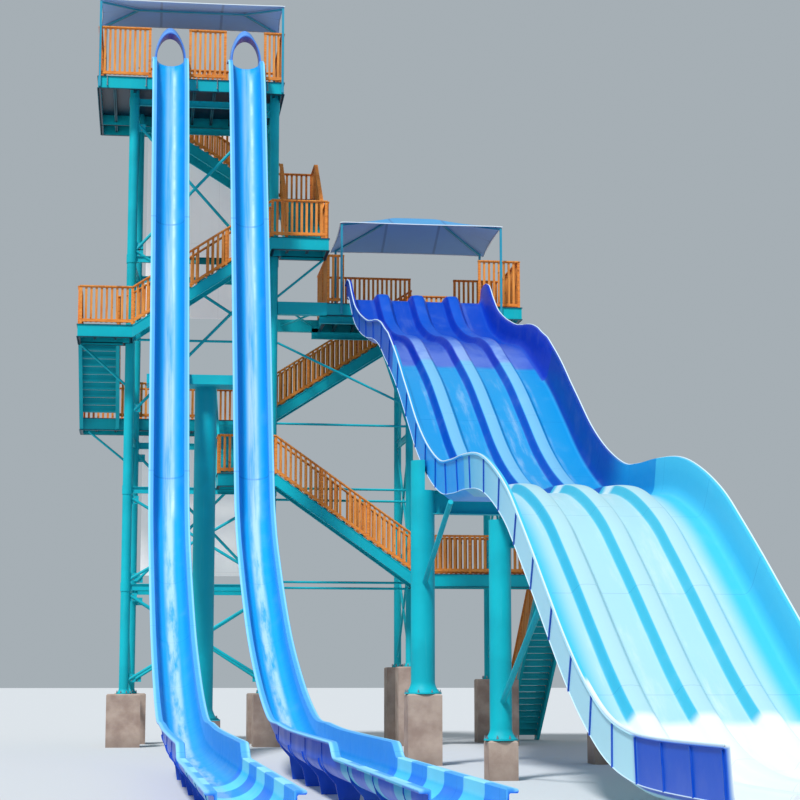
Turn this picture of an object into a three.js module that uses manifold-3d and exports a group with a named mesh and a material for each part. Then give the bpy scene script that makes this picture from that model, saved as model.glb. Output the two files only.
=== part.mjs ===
// Water slide tower with two open speed slides and a four-lane racer slide.
// Millimetres, +Z up. X runs to the right along the tower's front, +Y to its back.
import * as THREE from 'three';
import { mergeVertices } from 'three/addons/utils/BufferGeometryUtils.js';
import Module from 'manifold-3d';

const wasm = await Module();
wasm.setup();

// Clear gap left between pieces that touch
const GAP = 0.3;
// Farthest a curve may stray from the straight chords that stand for it
const CHORD_ERROR = 22;

// Levels of the walking surfaces
const LEVEL_TOP = 18200;
const LEVEL_UPPER_REAR = 15790;
const LEVEL_RIGHT = 13750;
const LEVEL_RACER = 12150;
const LEVEL_LEFT = 11225;
const LEVEL_WALKWAY = 9200;
const LEVEL_MIDDLE = 7250;
const LEVEL_LOWER = 4600;

// Tower frame: the columns stand at X 0 and TOWER_RIGHT in front, REAR_LEFT and TOWER_RIGHT behind
const TOWER_RIGHT = 3900;
const TOWER_BACK = 2800;
const REAR_LEFT = 150;
const TUBE_SIDES = 12;
const COLUMN = 260;
const PLINTH_TOP = 1400;
const PLINTH_WIDE = 900;
const BRACE = 90;
const ROD = 70;
const BEAM = 180;
const OUTRIGGER = 120;
const BEAM_LOW = 4250;
const BEAM_STAIR = 6870;
const BEAM_REAR = 8400;
const ROD_MID = 11000;
const BEAM_HIGH = 13250;
const BEAM_TOP = 17700;

// Decks and stairs
const DECK_DEPTH = 350;
const BOARD_DEPTH = 60;
const FASCIA = 70;
const FRONT_EDGE = -1050;
const FRONT_INNER = -COLUMN / 2 - GAP;
const REAR_INNER = TOWER_BACK + COLUMN / 2 + GAP;
const REAR_EDGE = 4100;
const SIDE_BACK = 300;
const LEFT_EDGE = -1400;
const RIGHT_EDGE = 5350;
const SIDE_STAIR = 1100;
const TREAD_DEPTH = 40;
const STRINGER_WIDE = 80;
const STRINGER_DEEP = 330;

// Top deck, with a tongue at its back left where the last flight arrives
const TOP_LEFT = -1000;
const TOP_RIGHT = 4100;
const TOP_FRONT = -750;
const TOP_BACK = 3000;
const TOP_TONGUE = 350;

// Railings
const RAIL_HEIGHT = 1030;
const RAIL_TALL = 1390;
const RAIL_RACER = 1350;
const POST = 70;
const EDGE = POST / 2 + 2;
const RAIL_THICK = 50;
const RAIL_FOOT = 110;
const POST_SPACING = 1500;

// Speed slides
const SPEED_START = -450;
const SPEED_TURN = THREE.MathUtils.degToRad(1);
const SPEED_CENTRES = [950, 3020];
const FLUME_HALF = 495;
const FLUME_INNER = 370;
const FLUME_WALL = 30;
const FLUME_FLANGE = 40;
const ENTRY_RIM = 240;
const FLUME_RIM = 420;
const CATCH_RIM = 560;
const RUNOUT_RIM = 330;
const SPEED_PROFILE = [
  [0, 18560], [500, 18480], [1005, 17500], [3005, 12000], [4865, 6700], [5755, 5180],
  [7205, 4050], [8905, 3020], [10605, 2190], [12855, 1400], [14905, 870], [17105, 530],
  [19505, 420], [22305, 390], [26505, 380], [30305, 365], [34505, 350],
];
const CATCH_START = 15805;
const CATCH_END = 26505;
const RUNOUT_END = 34505;
const CATCH_SADDLES = [17500, 20500, 23500, 26200];
const RUNOUT_SADDLES = [28500, 31300, 34000];
const ENTRY_SADDLES = [100, 230];
const HOOD_STATIONS = [[20, 940], [250, 850], [520, 655]];
const HOOD_HALF = 425;
const HOOD_CLEAR = 605;

// Column under the steep part of the speed slides
const SUPPORT_X = 1960;
const SUPPORT_Y = -3950;
const SUPPORT_WIDE = 540;
const SUPPORT_PLINTH = 800;
const SUPPORT_HEAD = 9120;
const SUPPORT_DEEP = 240;
const SUPPORT_REACH = 1500;

// Racer slide
const RACER_START = 100;
const RACER_CENTRE = 7880;
const RACER_TURN = THREE.MathUtils.degToRad(2.2);
const LANE_PITCH = 975;
const RACER_HALF = 1930;
const RACER_WALL = 740;
const RACER_WALLS = [
  [0, 460], [460, 600], [3200, 560], [4300, 510], [4820, 530], [6170, 750], [7100, 840],
  [9200, RACER_WALL],
];
const RACER_SHELL = 70;
const DIVIDER_HIGH = 165;
const DIVIDER_TOP = 130;
const DIVIDER_FOOT = 240;
const RACER_PROFILE = [
  [0, 12220.5], [260, 12220.5], [460, 12130], [860, 11770], [1480, 11310], [2080, 11020],
  [2900, 10720], [3800, 10480], [4670, 10310], [5410, 10100], [6000, 9860], [6600, 9540],
  [7310, 9180], [8440, 8550], [9740, 7670], [11090, 6740],
  [12490, 6020], [13970, 5520], [15210, 5390], [16510, 5350], [17810, 5230], [18910, 4930],
  [20010, 4460], [20910, 3900], [21910, 3230], [23010, 2460], [24110, 1720], [25210, 1100],
  [26410, 610], [27610, 370], [29010, 290], [31810, 280],
];
const RACER_SPLITS = [0, 7810, 16510, 31810];
const RACER_SLEEPERS = [28400, 30200, 31600];

// Racer platform and the supports below it and below the bed
const PLATFORM_LEFT = 5400;
const PLATFORM_RIGHT = 10900;
const PLATFORM_BACK = 3150;
const PLATFORM_COLUMNS = [7730, 10350];
const PLATFORM_ROWS = [180, 2750];
const PLATFORM_COLUMN = 210;
const PLATFORM_PLINTH = 690;
const PLATFORM_PLINTH_TOPS = [2130, 1800];
const TONGUE_LEFT = 8200;
const TONGUE_RIGHT = 9400;
const LOWER_LEFT = 7700;
const LOWER_RIGHT = 12300;
const LOWER_BACK = PLATFORM_ROWS[0] - PLATFORM_COLUMN / 2 - GAP;
const GROUND_STAIR = 1000;
const GROUND_END = LOWER_BACK + 5400;

// Canopies
const CANOPY_SKIN = 40;
const CANOPY_POST = 60;
const CANOPY_RAFTER = 50;
const RAFTER_DROP = 85;

const steel = () => new THREE.MeshStandardMaterial({ color: 0x12a3ad, roughness: 0.5, metalness: 0.2 });
const timber = () => new THREE.MeshStandardMaterial({ color: 0xc97a35, roughness: 0.75, metalness: 0 });
const azure = () => new THREE.MeshStandardMaterial({ color: 0x1f8fe0, roughness: 0.25, metalness: 0 });
const royal = () => new THREE.MeshStandardMaterial({ color: 0x1c3fc0, roughness: 0.25, metalness: 0 });
const pale = () => new THREE.MeshStandardMaterial({ color: 0x8fdcf2, roughness: 0.25, metalness: 0 });
const cloth = () => new THREE.MeshStandardMaterial({ color: 0x4f74b8, roughness: 0.85, metalness: 0 });
const sheet = () => new THREE.MeshStandardMaterial({ color: 0xcbc6d2, roughness: 0.6, metalness: 0.1 });

const tower = new THREE.Group();

// Turns a three.js geometry into a solid that can be joined and cut.
function toSolid(geometry) {
  const plain = geometry.clone();
  plain.deleteAttribute('normal');
  plain.deleteAttribute('uv');
  const merged = mergeVertices(plain, 1e-3);
  return new wasm.Manifold(new wasm.Mesh({
    numProp: 3,
    vertProperties: new Float32Array(merged.attributes.position.array),
    triVerts: new Uint32Array(merged.index.array),
  }));
}

function toGeometry(solid) {
  const mesh = solid.getMesh();
  const geometry = new THREE.BufferGeometry();
  geometry.setAttribute('position', new THREE.BufferAttribute(mesh.vertProperties, 3));
  geometry.setIndex(new THREE.BufferAttribute(mesh.triVerts, 1));
  geometry.computeVertexNormals();
  return geometry;
}

function fuse(pieces, cuts = []) {
  let solid = toSolid(pieces[0]);
  for (const piece of pieces.slice(1)) {
    solid = solid.add(toSolid(piece));
  }
  for (const cut of cuts) {
    solid = solid.subtract(toSolid(cut));
  }
  return toGeometry(solid);
}

function add(name, geometry, material, parent = tower) {
  const mesh = new THREE.Mesh(geometry, material);
  mesh.name = name;
  parent.add(mesh);
}

function box(x0, x1, y0, y1, z0, z1) {
  const geometry = new THREE.BoxGeometry(x1 - x0, y1 - y0, z1 - z0);
  return geometry.translate((x0 + x1) / 2, (y0 + y1) / 2, (z0 + z1) / 2);
}

// A box that stands on a square of the given width around a point.
function pillar(x, y, wide, z0, z1) {
  return box(x - wide / 2, x + wide / 2, y - wide / 2, y + wide / 2, z0, z1);
}

// A straight bar of rectangular section from one point to another.
function bar(from, to, wide = BRACE, high = wide) {
  const start = new THREE.Vector3(...from);
  const along = new THREE.Vector3(...to).sub(start);
  const length = along.length();
  along.normalize();
  const upright = Math.abs(along.z) > 0.99 ? new THREE.Vector3(0, 1, 0) : new THREE.Vector3(0, 0, 1);
  const side = new THREE.Vector3().crossVectors(upright, along).normalize();
  const top = new THREE.Vector3().crossVectors(along, side);
  const geometry = new THREE.BoxGeometry(length, wide, high);
  geometry.translate(length / 2, 0, 0);
  geometry.applyMatrix4(new THREE.Matrix4().makeBasis(along, side, top));
  return geometry.translate(start.x, start.y, start.z);
}

// An upright round tube of the given width, drawn with flat sides.
function tube(x, y, wide, z0, z1, topWide = wide) {
  const geometry = new THREE.CylinderGeometry(topWide / 2, wide / 2, z1 - z0, TUBE_SIDES);
  return geometry.rotateX(Math.PI / 2).translate(x, y, (z0 + z1) / 2);
}

// A round column on its concrete plinth, with a foot that flares out to the plinth.
function column(x, y, wide, top, plinthWide, plinthTop) {
  const flare = wide * 0.45;
  return [
    pillar(x, y, plinthWide, 0, plinthTop),
    tube(x, y, wide * 1.4, plinthTop - 20, plinthTop + flare, wide),
    tube(x, y, wide, plinthTop, top),
  ];
}

// A tower column, up to the underside of the top deck's boards.
function towerColumn(x, y) {
  return column(x, y, COLUMN, LEVEL_TOP - BOARD_DEPTH, PLINTH_WIDE, PLINTH_TOP);
}

// A rod that rises from a column to just below a deck's edge.
function kneeRod(foot, [endX, endY], under) {
  return bar(foot, [endX, endY, under - ROD / 2], ROD);
}

// A pair of crossed braces between two upright lines.
function crossBraces([xA, yA], [xB, yB], low, high) {
  return [
    bar([xA, yA, low], [xB, yB, high]),
    bar([xA, yA, high], [xB, yB, low]),
  ];
}

function towerFrames() {
  const right = TOWER_RIGHT;
  const beam = (x, y, level) => bar([x, y, level], [right, y, level], BRACE, BEAM);
  const front = [...towerColumn(0, 0), ...towerColumn(right, 0)];
  for (const level of [BEAM_LOW, BEAM_STAIR, BEAM_HIGH, BEAM_TOP]) {
    front.push(beam(0, 0, level));
  }
  front.push(bar([0, 0, ROD_MID], [right, 0, ROD_MID], ROD));
  front.push(...crossBraces([0, 0], [right, 0], PLINTH_TOP + 300, BEAM_LOW - 150));
  front.push(...crossBraces([0, 0], [right, 0], BEAM_LOW + 150, BEAM_STAIR - 150));
  for (const [low, high] of [[8900, 13000], [13550, 11050], [13390, 17720], [17190, 12860]]) {
    front.push(bar([0, 0, low], [right, 0, high]));
  }
  front.push(kneeRod([0, 0, 9650], [LEFT_EDGE + 60, 0], LEVEL_LEFT - DECK_DEPTH));
  front.push(kneeRod([right, 0, 12190], [RIGHT_EDGE - 60, 0], LEVEL_RIGHT - DECK_DEPTH));
  add('tower_front_frame', fuse(front), steel());

  const back = TOWER_BACK;
  const rear = [...towerColumn(REAR_LEFT, back), ...towerColumn(right, back)];
  for (const level of [BEAM_LOW, BEAM_REAR, BEAM_HIGH, BEAM_TOP]) {
    rear.push(beam(REAR_LEFT, back, level));
  }
  rear.push(...crossBraces([REAR_LEFT, back], [right, back], PLINTH_TOP + 300, BEAM_LOW - 150));
  rear.push(...crossBraces([REAR_LEFT, back], [right, back], BEAM_LOW + 150, BEAM_REAR - 150));
  // Outriggers behind the rear columns carry the rear walkway
  const level = LEVEL_WALKWAY - DECK_DEPTH;
  for (const x of [REAR_LEFT, right]) {
    rear.push(box(x - OUTRIGGER / 2, x + OUTRIGGER / 2, back, REAR_EDGE, level - BEAM, level));
  }
  rear.push(kneeRod([REAR_LEFT, back, 7750], [-1150, back + 170], level));
  add('tower_rear_frame', fuse(rear), steel());
}

// Struts and one zigzag brace between the front and the rear columns of one side.
function sideBraces(name, near, far) {
  const levels = [PLINTH_TOP + 400, BEAM_LOW, BEAM_REAR, BEAM_HIGH, BEAM_TOP];
  const point = (y, z) => [near + ((far - near) * y) / TOWER_BACK, y, z];
  const reach = COLUMN / 2 + GAP;
  const bars = levels.map((level) => bar(
    point(reach, level), point(TOWER_BACK - reach, level), BRACE, 2 * BRACE,
  ));
  for (let i = 0; i + 1 < levels.length; i += 1) {
    const inset = COLUMN / 2 + 100;
    const ends = i % 2 ? [inset, TOWER_BACK - inset] : [TOWER_BACK - inset, inset];
    bars.push(bar(point(ends[0], levels[i]), point(ends[1], levels[i + 1])));
  }
  add(name, fuse(bars), steel());
}

// A deck of boards on deep fascia beams, hollow below the boards.
function deck(name, rectangles, level) {
  const pieces = rectangles.map(([x0, x1, y0, y1]) => box(x0, x1, y0, y1, level - DECK_DEPTH, level));
  const hollows = rectangles.map(([x0, x1, y0, y1]) => box(
    x0 + FASCIA, x1 - FASCIA, y0 + FASCIA, y1 - FASCIA,
    level - DECK_DEPTH - 10, level - BOARD_DEPTH,
  ));
  add(name, fuse(pieces, hollows), steel());
}

// A straight flight along local +X, rising from the origin, its width along local +Y.
function flightPieces(run, rise, wide, steps) {
  const going = run / steps;
  const riser = rise / steps;
  const lift = (GAP * rise) / run;
  const outline = new THREE.Shape([
    new THREE.Vector2(GAP, lift - STRINGER_DEEP),
    new THREE.Vector2(run - GAP, rise - lift - STRINGER_DEEP),
    new THREE.Vector2(run - GAP, rise - lift),
    new THREE.Vector2(GAP, lift),
  ]);
  const side = new THREE.ExtrudeGeometry(outline, { depth: STRINGER_WIDE, bevelEnabled: false });
  side.rotateX(Math.PI / 2);
  const pieces = [side.clone().translate(0, STRINGER_WIDE, 0), side.clone().translate(0, wide, 0)];
  const inner = STRINGER_WIDE - 6;
  for (let i = 1; i < steps; i += 1) {
    const x = (i - 0.5) * going;
    pieces.push(box(x, x + going + 20, inner, wide - inner, i * riser - TREAD_DEPTH, i * riser));
  }
  return pieces;
}

// Turns pieces by a heading in degrees about Z and moves them to a corner point.
function place(pieces, corner, heading) {
  for (const piece of pieces) {
    piece.rotateZ(THREE.MathUtils.degToRad(heading));
    piece.translate(...corner);
  }
  return pieces;
}

function flight(name, corner, heading, run, rise, wide, steps, cuts = []) {
  add(name, fuse(place(flightPieces(run, rise, wide, steps), corner, heading), cuts), steel());
}

// Railing along a path of points on the walking line: a hand rail, a foot rail and posts.
// Posts stand at the path's corners and in even bays between them, clear of the treads.
function railingPieces(path, height = RAIL_HEIGHT) {
  const points = path.map((point) => new THREE.Vector3(...point));
  const spanOf = (i) => Math.hypot(points[i + 1].x - points[i].x, points[i + 1].y - points[i].y);
  const slopeOf = (i) => (points[i + 1] && points[i]
    ? Math.abs(points[i + 1].z - points[i].z) / spanOf(i) : 0);
  const pieces = [];
  let last = new THREE.Vector3(Infinity, 0, 0);
  for (let i = 0; i + 1 < points.length; i += 1) {
    const [start, end] = [points[i], points[i + 1]];
    const at = (point, z) => [point.x, point.y, point.z + z];
    pieces.push(bar(at(start, height), at(end, height), POST, RAIL_THICK));
    pieces.push(bar(at(start, RAIL_FOOT), at(end, RAIL_FOOT), RAIL_THICK, 80));
    const span = spanOf(i);
    const bays = Math.max(1, Math.round(span / POST_SPACING));
    const low = i === 0 ? POST / 2 + 5 : 0;
    const high = i + 2 === points.length ? span - POST / 2 - 5 : span;
    for (let k = 0; k <= bays; k += 1) {
      const p = start.clone().lerp(end, (low + ((high - low) * k) / bays) / span);
      const slope = Math.max(slopeOf(i), k === 0 ? slopeOf(i - 1) : 0, k === bays ? slopeOf(i + 1) : 0);
      if (p.distanceTo(last) > 250) {
        const foot = p.z + GAP + slope * (POST / 2);
        pieces.push(pillar(p.x, p.y, POST, foot, p.z + height - 8));
        last = p;
      }
    }
  }
  return pieces;
}

function railing(name, path, height) {
  add(name, fuse(railingPieces(path, height)), timber());
}

// Stations of a smooth curve through profile points, each with its distance, its level and
// its direction, as few as keep the chords close to the curve. A whole profile starts with an
// upright station and one straight stretch.
function profilePath(points, from, to) {
  const curve = new THREE.SplineCurve(points.map(([s, z]) => new THREE.Vector2(s, z)));
  const dense = curve.getPoints(points.length * 16);
  const end = points[points.length - 1][0];
  const pointAt = (s) => {
    const i = Math.max(1, dense.findIndex((p) => p.x >= s - 1e-6));
    const share = (s - dense[i - 1].x) / (dense[i].x - dense[i - 1].x);
    return dense[i - 1].clone().lerp(dense[i], share);
  };
  const station = (s) => {
    const ahead = pointAt(Math.min(end, s + 60));
    const along = ahead.sub(pointAt(Math.max(0, s - 60))).normalize();
    return { s, z: pointAt(s).y, along: s ? along : new THREE.Vector2(1, 0) };
  };
  const start = from || points[1][0];
  const run = [pointAt(start), ...dense.filter((p) => p.x > start + 60 && p.x < to - 60), pointAt(to)];
  const path = from ? [station(from)] : [station(0), station(start)];
  let first = 0;
  for (let i = 1; i < run.length; i += 1) {
    const chord = run[i].clone().sub(run[first]).normalize();
    const strays = run.slice(first + 1, i).some(
      (p) => Math.abs(chord.cross(p.clone().sub(run[first]))) > CHORD_ERROR,
    );
    if (strays) {
      first = i - 1;
      path.push(station(run[first].x));
    }
  }
  return [...path, station(to)];
}

function floorAt(points, s) {
  return profilePath(points, s, points[points.length - 1][0])[0].z;
}

// Carries a closed section (across, up) along a path in the upright plane that runs to -Y.
function sweep(path, sectionAt) {
  const outline = (s) => sectionAt(s).map(([x, y]) => new THREE.Vector2(x, y));
  const backwards = THREE.ShapeUtils.isClockWise(outline(path[0].s));
  const rings = path.map(({ s, z, along }) => {
    const ring = outline(s).map((q) => [q.x, along.y * q.y - s, z + along.x * q.y]);
    return backwards ? ring.reverse() : ring;
  });
  const count = rings[0].length;
  const triangles = [];
  for (let i = 0; i + 1 < rings.length; i += 1) {
    for (let j = 0; j < count; j += 1) {
      const next = (j + 1) % count;
      const a = i * count + j;
      const b = i * count + next;
      triangles.push(a, b, b + count, b + count, a + count, a);
    }
  }
  const flat = outline(path[0].s);
  if (backwards) {
    flat.reverse();
  }
  const last = (rings.length - 1) * count;
  for (const [a, b, c] of THREE.ShapeUtils.triangulateShape(flat, [])) {
    triangles.push(c, b, a, last + a, last + b, last + c);
  }
  const geometry = new THREE.BufferGeometry();
  geometry.setAttribute('position', new THREE.Float32BufferAttribute(rings.flat(2), 3));
  geometry.setIndex(triangles);
  return geometry;
}

// Outer arc and inner arc of the round flume, from the left rim to the right one.
function flumeArc(reach, wide, deep) {
  const arc = [];
  for (let i = 0; i <= 6; i += 1) {
    const angle = Math.PI + (Math.PI * i) / 6;
    arc.push([wide * Math.cos(angle), reach + deep * Math.sin(angle)]);
  }
  return arc;
}

// Open flume: a round trough with straight sides and a flange along each rim.
function flumeSection(rim) {
  const reach = Math.min(rim * 0.8, FLUME_INNER * 0.7);
  const outer = FLUME_INNER + FLUME_WALL;
  const low = rim - FLUME_FLANGE;
  return [
    [-FLUME_INNER, rim], ...flumeArc(reach, FLUME_INNER, reach), [FLUME_INNER, rim],
    [FLUME_HALF, rim], [FLUME_HALF, low], [outer, low],
    ...flumeArc(reach, outer, reach + FLUME_WALL).reverse(),
    [-outer, low], [-FLUME_HALF, low], [-FLUME_HALF, rim],
  ];
}

// The flume's rim: low at the entry, level on the drop, higher along the catch.
function rimAt(s) {
  const { mapLinear, clamp } = THREE.MathUtils;
  const [low, high] = [SPEED_PROFILE[1][0], SPEED_PROFILE[2][0]];
  if (s < high) {
    return mapLinear(Math.max(s, low), low, high, ENTRY_RIM, FLUME_RIM);
  }
  const grown = CATCH_START + 2500;
  return mapLinear(clamp(s, CATCH_START, grown), CATCH_START, grown, FLUME_RIM, CATCH_RIM);
}

// The flume's outer form as a full body, a little larger, to cut its cradle with.
function flumeEnvelope() {
  const outer = FLUME_INNER + FLUME_WALL + GAP;
  const reach = FLUME_INNER * 0.7;
  const high = FLUME_RIM + 900;
  const low = FLUME_RIM - FLUME_FLANGE - GAP;
  return [
    [-FLUME_HALF - GAP, high], [-FLUME_HALF - GAP, low], [-outer, low],
    ...flumeArc(reach, outer, reach + FLUME_WALL + GAP),
    [outer, low], [FLUME_HALF + GAP, low], [FLUME_HALF + GAP, high],
  ];
}

function speedGroup(centre) {
  const group = new THREE.Group();
  group.position.set(centre, SPEED_START, 0);
  group.rotation.z = SPEED_TURN;
  return group;
}

// A block under the flume, down to the ground or the deck, its top inside the flume's wall.
function saddle(s, foot = 0) {
  return box(-160, 160, -s - 60, -s + 60, foot, floorAt(SPEED_PROFILE, s) - 12);
}

function speedSlide(side, centre) {
  const group = speedGroup(centre);
  tower.add(group);
  const path = profilePath(SPEED_PROFILE, 0, CATCH_START);
  const chute = [sweep(path, (s) => flumeSection(rimAt(s)))];
  for (const s of ENTRY_SADDLES) {
    chute.push(saddle(s, LEVEL_TOP + GAP));
  }
  add(`speed_${side}_chute`, fuse(chute), azure(), group);

  const catchPath = profilePath(SPEED_PROFILE, CATCH_START + GAP, CATCH_END);
  const catchPieces = [sweep(catchPath, (s) => flumeSection(rimAt(s)))];
  for (const s of CATCH_SADDLES) {
    catchPieces.push(saddle(s));
  }
  add(`speed_${side}_catch`, fuse(catchPieces), azure(), group);

  const runout = profilePath(SPEED_PROFILE, CATCH_END + GAP, RUNOUT_END);
  const runoutPieces = [sweep(runout, () => flumeSection(RUNOUT_RIM))];
  for (const s of RUNOUT_SADDLES) {
    runoutPieces.push(saddle(s));
  }
  add(`speed_${side}_runout`, fuse(runoutPieces), pale(), group);
  add(`speed_${side}_hood`, hood(path), azure(), group);
}

// An arch over the start of the flume: half an ellipse on a straight base below it.
function archSection(half, high) {
  const section = [[-half, -200], [half, -200]];
  for (let i = 0; i <= 8; i += 1) {
    const angle = (Math.PI * i) / 8;
    section.push([half * Math.cos(angle), high * Math.sin(angle)]);
  }
  return section;
}

// The hood's crown falls towards the front. It stands on the flume's flanges, over a tunnel.
function hood(path) {
  const upright = new THREE.Vector2(1, 0);
  const rim = floorAt(SPEED_PROFILE, 0) + ENTRY_RIM;
  const stations = HOOD_STATIONS.map(([s]) => ({ s, z: rim, along: upright }));
  const crown = sweep(stations, (s) => archSection(
    HOOD_HALF, HOOD_STATIONS.find(([at]) => at === s)[1],
  ));
  const around = [-50, 1000].map((s) => ({ s, z: rim, along: upright }));
  const tunnel = sweep(around, () => archSection(FLUME_INNER, HOOD_CLEAR));
  const below = sweep(path, (s) => [
    [-700, -600], [700, -600], [700, rimAt(s) + GAP], [-700, rimAt(s) + GAP],
  ]);
  return fuse([crown], [tunnel, below]);
}

// Column and cross-head under both speed slides, cradled to the flumes.
function slideSupport() {
  const [x, y, head] = [SUPPORT_X, SUPPORT_Y, SUPPORT_HEAD];
  const pieces = [
    ...column(x, y, SUPPORT_WIDE, head + 50, PLINTH_WIDE, SUPPORT_PLINTH),
    box(x - SUPPORT_REACH, x + SUPPORT_REACH, y - 700, y + 200, head, head + SUPPORT_DEEP),
  ];
  const path = profilePath(SPEED_PROFILE, 0, CATCH_START);
  const cuts = SPEED_CENTRES.map((centre) => {
    const group = speedGroup(centre);
    group.updateMatrix();
    return sweep(path, flumeEnvelope).applyMatrix4(group.matrix);
  });
  add('slide_support_column', fuse(pieces, cuts), steel());
}

// Right half of the racer's outline, from the bed's underside up the outside of the wall
// and down its inside to the floor.
function racerEdge(half, wall) {
  return [
    [half, RACER_SHELL], [half + 40, wall], [half - 30, wall],
    [half - 60, 260], [half - 190, 0],
  ];
}

// The height of the racer's walls, lower at the deck and along the first shelf.
function racerWall(s) {
  const next = RACER_WALLS.findIndex(([at]) => at > s);
  if (next < 0) {
    return RACER_WALL;
  }
  const [[s0, low], [s1, high]] = [RACER_WALLS[next - 1], RACER_WALLS[next]];
  return low + ((s - s0) / (s1 - s0)) * (high - low);
}

function racerSection(s) {
  const foot = RACER_HALF - 190;
  const wall = racerWall(s);
  const section = [[-foot, -RACER_SHELL], [foot, -RACER_SHELL], ...racerEdge(RACER_HALF, wall)];
  for (const lane of [1, 0, -1]) {
    const x = lane * LANE_PITCH;
    section.push([x + DIVIDER_FOOT, 0], [x + DIVIDER_TOP, DIVIDER_HIGH]);
    section.push([x - DIVIDER_TOP, DIVIDER_HIGH], [x - DIVIDER_FOOT, 0]);
  }
  for (const [x, z] of racerEdge(RACER_HALF, wall).reverse()) {
    section.push([-x, z]);
  }
  return section;
}

function racerEnvelope() {
  const foot = RACER_HALF - 190;
  const low = -RACER_SHELL - GAP;
  const wide = RACER_HALF + 60;
  return [
    [-foot, low], [foot, low], [RACER_HALF + GAP, RACER_SHELL - GAP], [wide, RACER_WALL],
    [wide, RACER_WALL + 1500], [-wide, RACER_WALL + 1500], [-wide, RACER_WALL],
    [-RACER_HALF - GAP, RACER_SHELL - GAP],
  ];
}

function racerGroup() {
  const group = new THREE.Group();
  group.position.set(RACER_CENTRE, RACER_START, 0);
  group.rotation.z = RACER_TURN;
  tower.add(group);
  return group;
}

// Stations of the racer's three beds, from the deck to the ground.
function racerPaths() {
  return [0, 1, 2].map((i) => profilePath(
    RACER_PROFILE, RACER_SPLITS[i] + (i ? GAP : 0), RACER_SPLITS[i + 1],
  ));
}

function racerSlide() {
  const group = racerGroup();
  const names = ['racer_bed_top', 'racer_bed_middle', 'racer_bed_lower'];
  racerPaths().forEach((path, i) => {
    const pieces = [sweep(path, racerSection)];
    if (i === 2) {
      for (const s of RACER_SLEEPERS) {
        pieces.push(box(-1600, 1600, -s - 90, -s + 90, 0, floorAt(RACER_PROFILE, s) - 20));
      }
    }
    add(names[i], fuse(pieces), [royal, azure, pale][i](), group);
  });
}

// A pair of columns with a cross-head below the bed, cradled to it, and a raking strut
// from each column forward to the bed.
function racerBent(name, s, half, wide, rise, plinth, plinthTop, rake) {
  const floor = floorAt(RACER_PROFILE, s);
  const head = floor + 130;
  const reach = half + wide / 2;
  const pieces = [box(-reach, reach, -s - 180, -s + 180, head - 750, head)];
  for (const x of [-half, half]) {
    pieces.push(...column(x, -s, wide, floor + rise, plinth, plinthTop));
    pieces.push(bar([x, -s, rake.from], [x, -s - rake.reach, rake.to], 110));
  }
  const cut = sweep(racerPaths().flat(), racerEnvelope);
  add(name, fuse(pieces, [cut]), steel(), racerGroup());
}

// Two columns, their plinths, beams and braces under one side of the racer platform.
function platformFrame(name, x, plinthTop, extras) {
  const [near, far] = PLATFORM_ROWS;
  const pieces = [];
  for (const y of PLATFORM_ROWS) {
    pieces.push(...column(
      x, y, PLATFORM_COLUMN, LEVEL_RACER - BOARD_DEPTH, PLATFORM_PLINTH, plinthTop,
    ));
  }
  const levels = [2300, 5200, 8500, 11500];
  for (let i = 0; i + 1 < levels.length; i += 1) {
    pieces.push(...crossBraces([x, near], [x, far], levels[i] + 120, levels[i + 1] - 120));
    pieces.push(bar([x, near, levels[i + 1]], [x, far, levels[i + 1]], BRACE, BEAM));
  }
  add(name, fuse([...pieces, ...extras]), steel());
}

// Beams beside and below the platform's overhang, and rods that tie its left columns to the
// tower.
function platformTies() {
  const [near, far] = PLATFORM_ROWS;
  const left = PLATFORM_COLUMNS[0];
  const face = TOWER_RIGHT + COLUMN / 2 + GAP;
  const edge = PLATFORM_LEFT - GAP;
  const bottom = LEVEL_RACER - DECK_DEPTH;
  const under = bottom - GAP;
  const level = bottom + 150;
  const ties = [
    box(face, edge, -60, near, bottom, LEVEL_RACER),
    box(face, edge, far - 60, far + 120, bottom, LEVEL_RACER),
    box(edge - 200, left, near - 60, near + 60, under - 200, under),
    box(edge - 200, left, far - 60, far + 60, under - 200, under),
    box(edge - 200, edge, near - 60, near, under - 100, bottom + 100),
    box(edge - 200, edge, far - 60, far + 60, under - 100, bottom + 100),
    bar([4300, 60, level], [5250, far, level], 60),
    bar([5250, 60, level], [4300, far, level], 60),
    bar([left, near, 8700], [6700, near, under - 60], 110),
    bar([face + 16, 0, 11000], [left, near, 9300], ROD),
  ];
  for (const z of [8750, 6970, 6650, 4410, 4250]) {
    ties.push(bar([face + 2, 0, z], [left, near, z], ROD));
  }
  return ties;
}

// Height of a hip roof over its plan, with its ridge along X: the lowest of its four slopes.
function hipRoof([x0, x1, y0, y1], [front, back], rise) {
  const inset = (y1 - y0) / 2;
  const ridge = (front + back) / 2 + rise;
  return (x, y) => {
    const eave = THREE.MathUtils.mapLinear(y, y0, y1, front, back);
    return Math.min(
      front + ((y - y0) / inset) * (ridge - front),
      back + ((y1 - y) / inset) * (ridge - back),
      eave + ((x - x0) / inset) * rise,
      eave + ((x1 - x) / inset) * rise,
    );
  };
}

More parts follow.
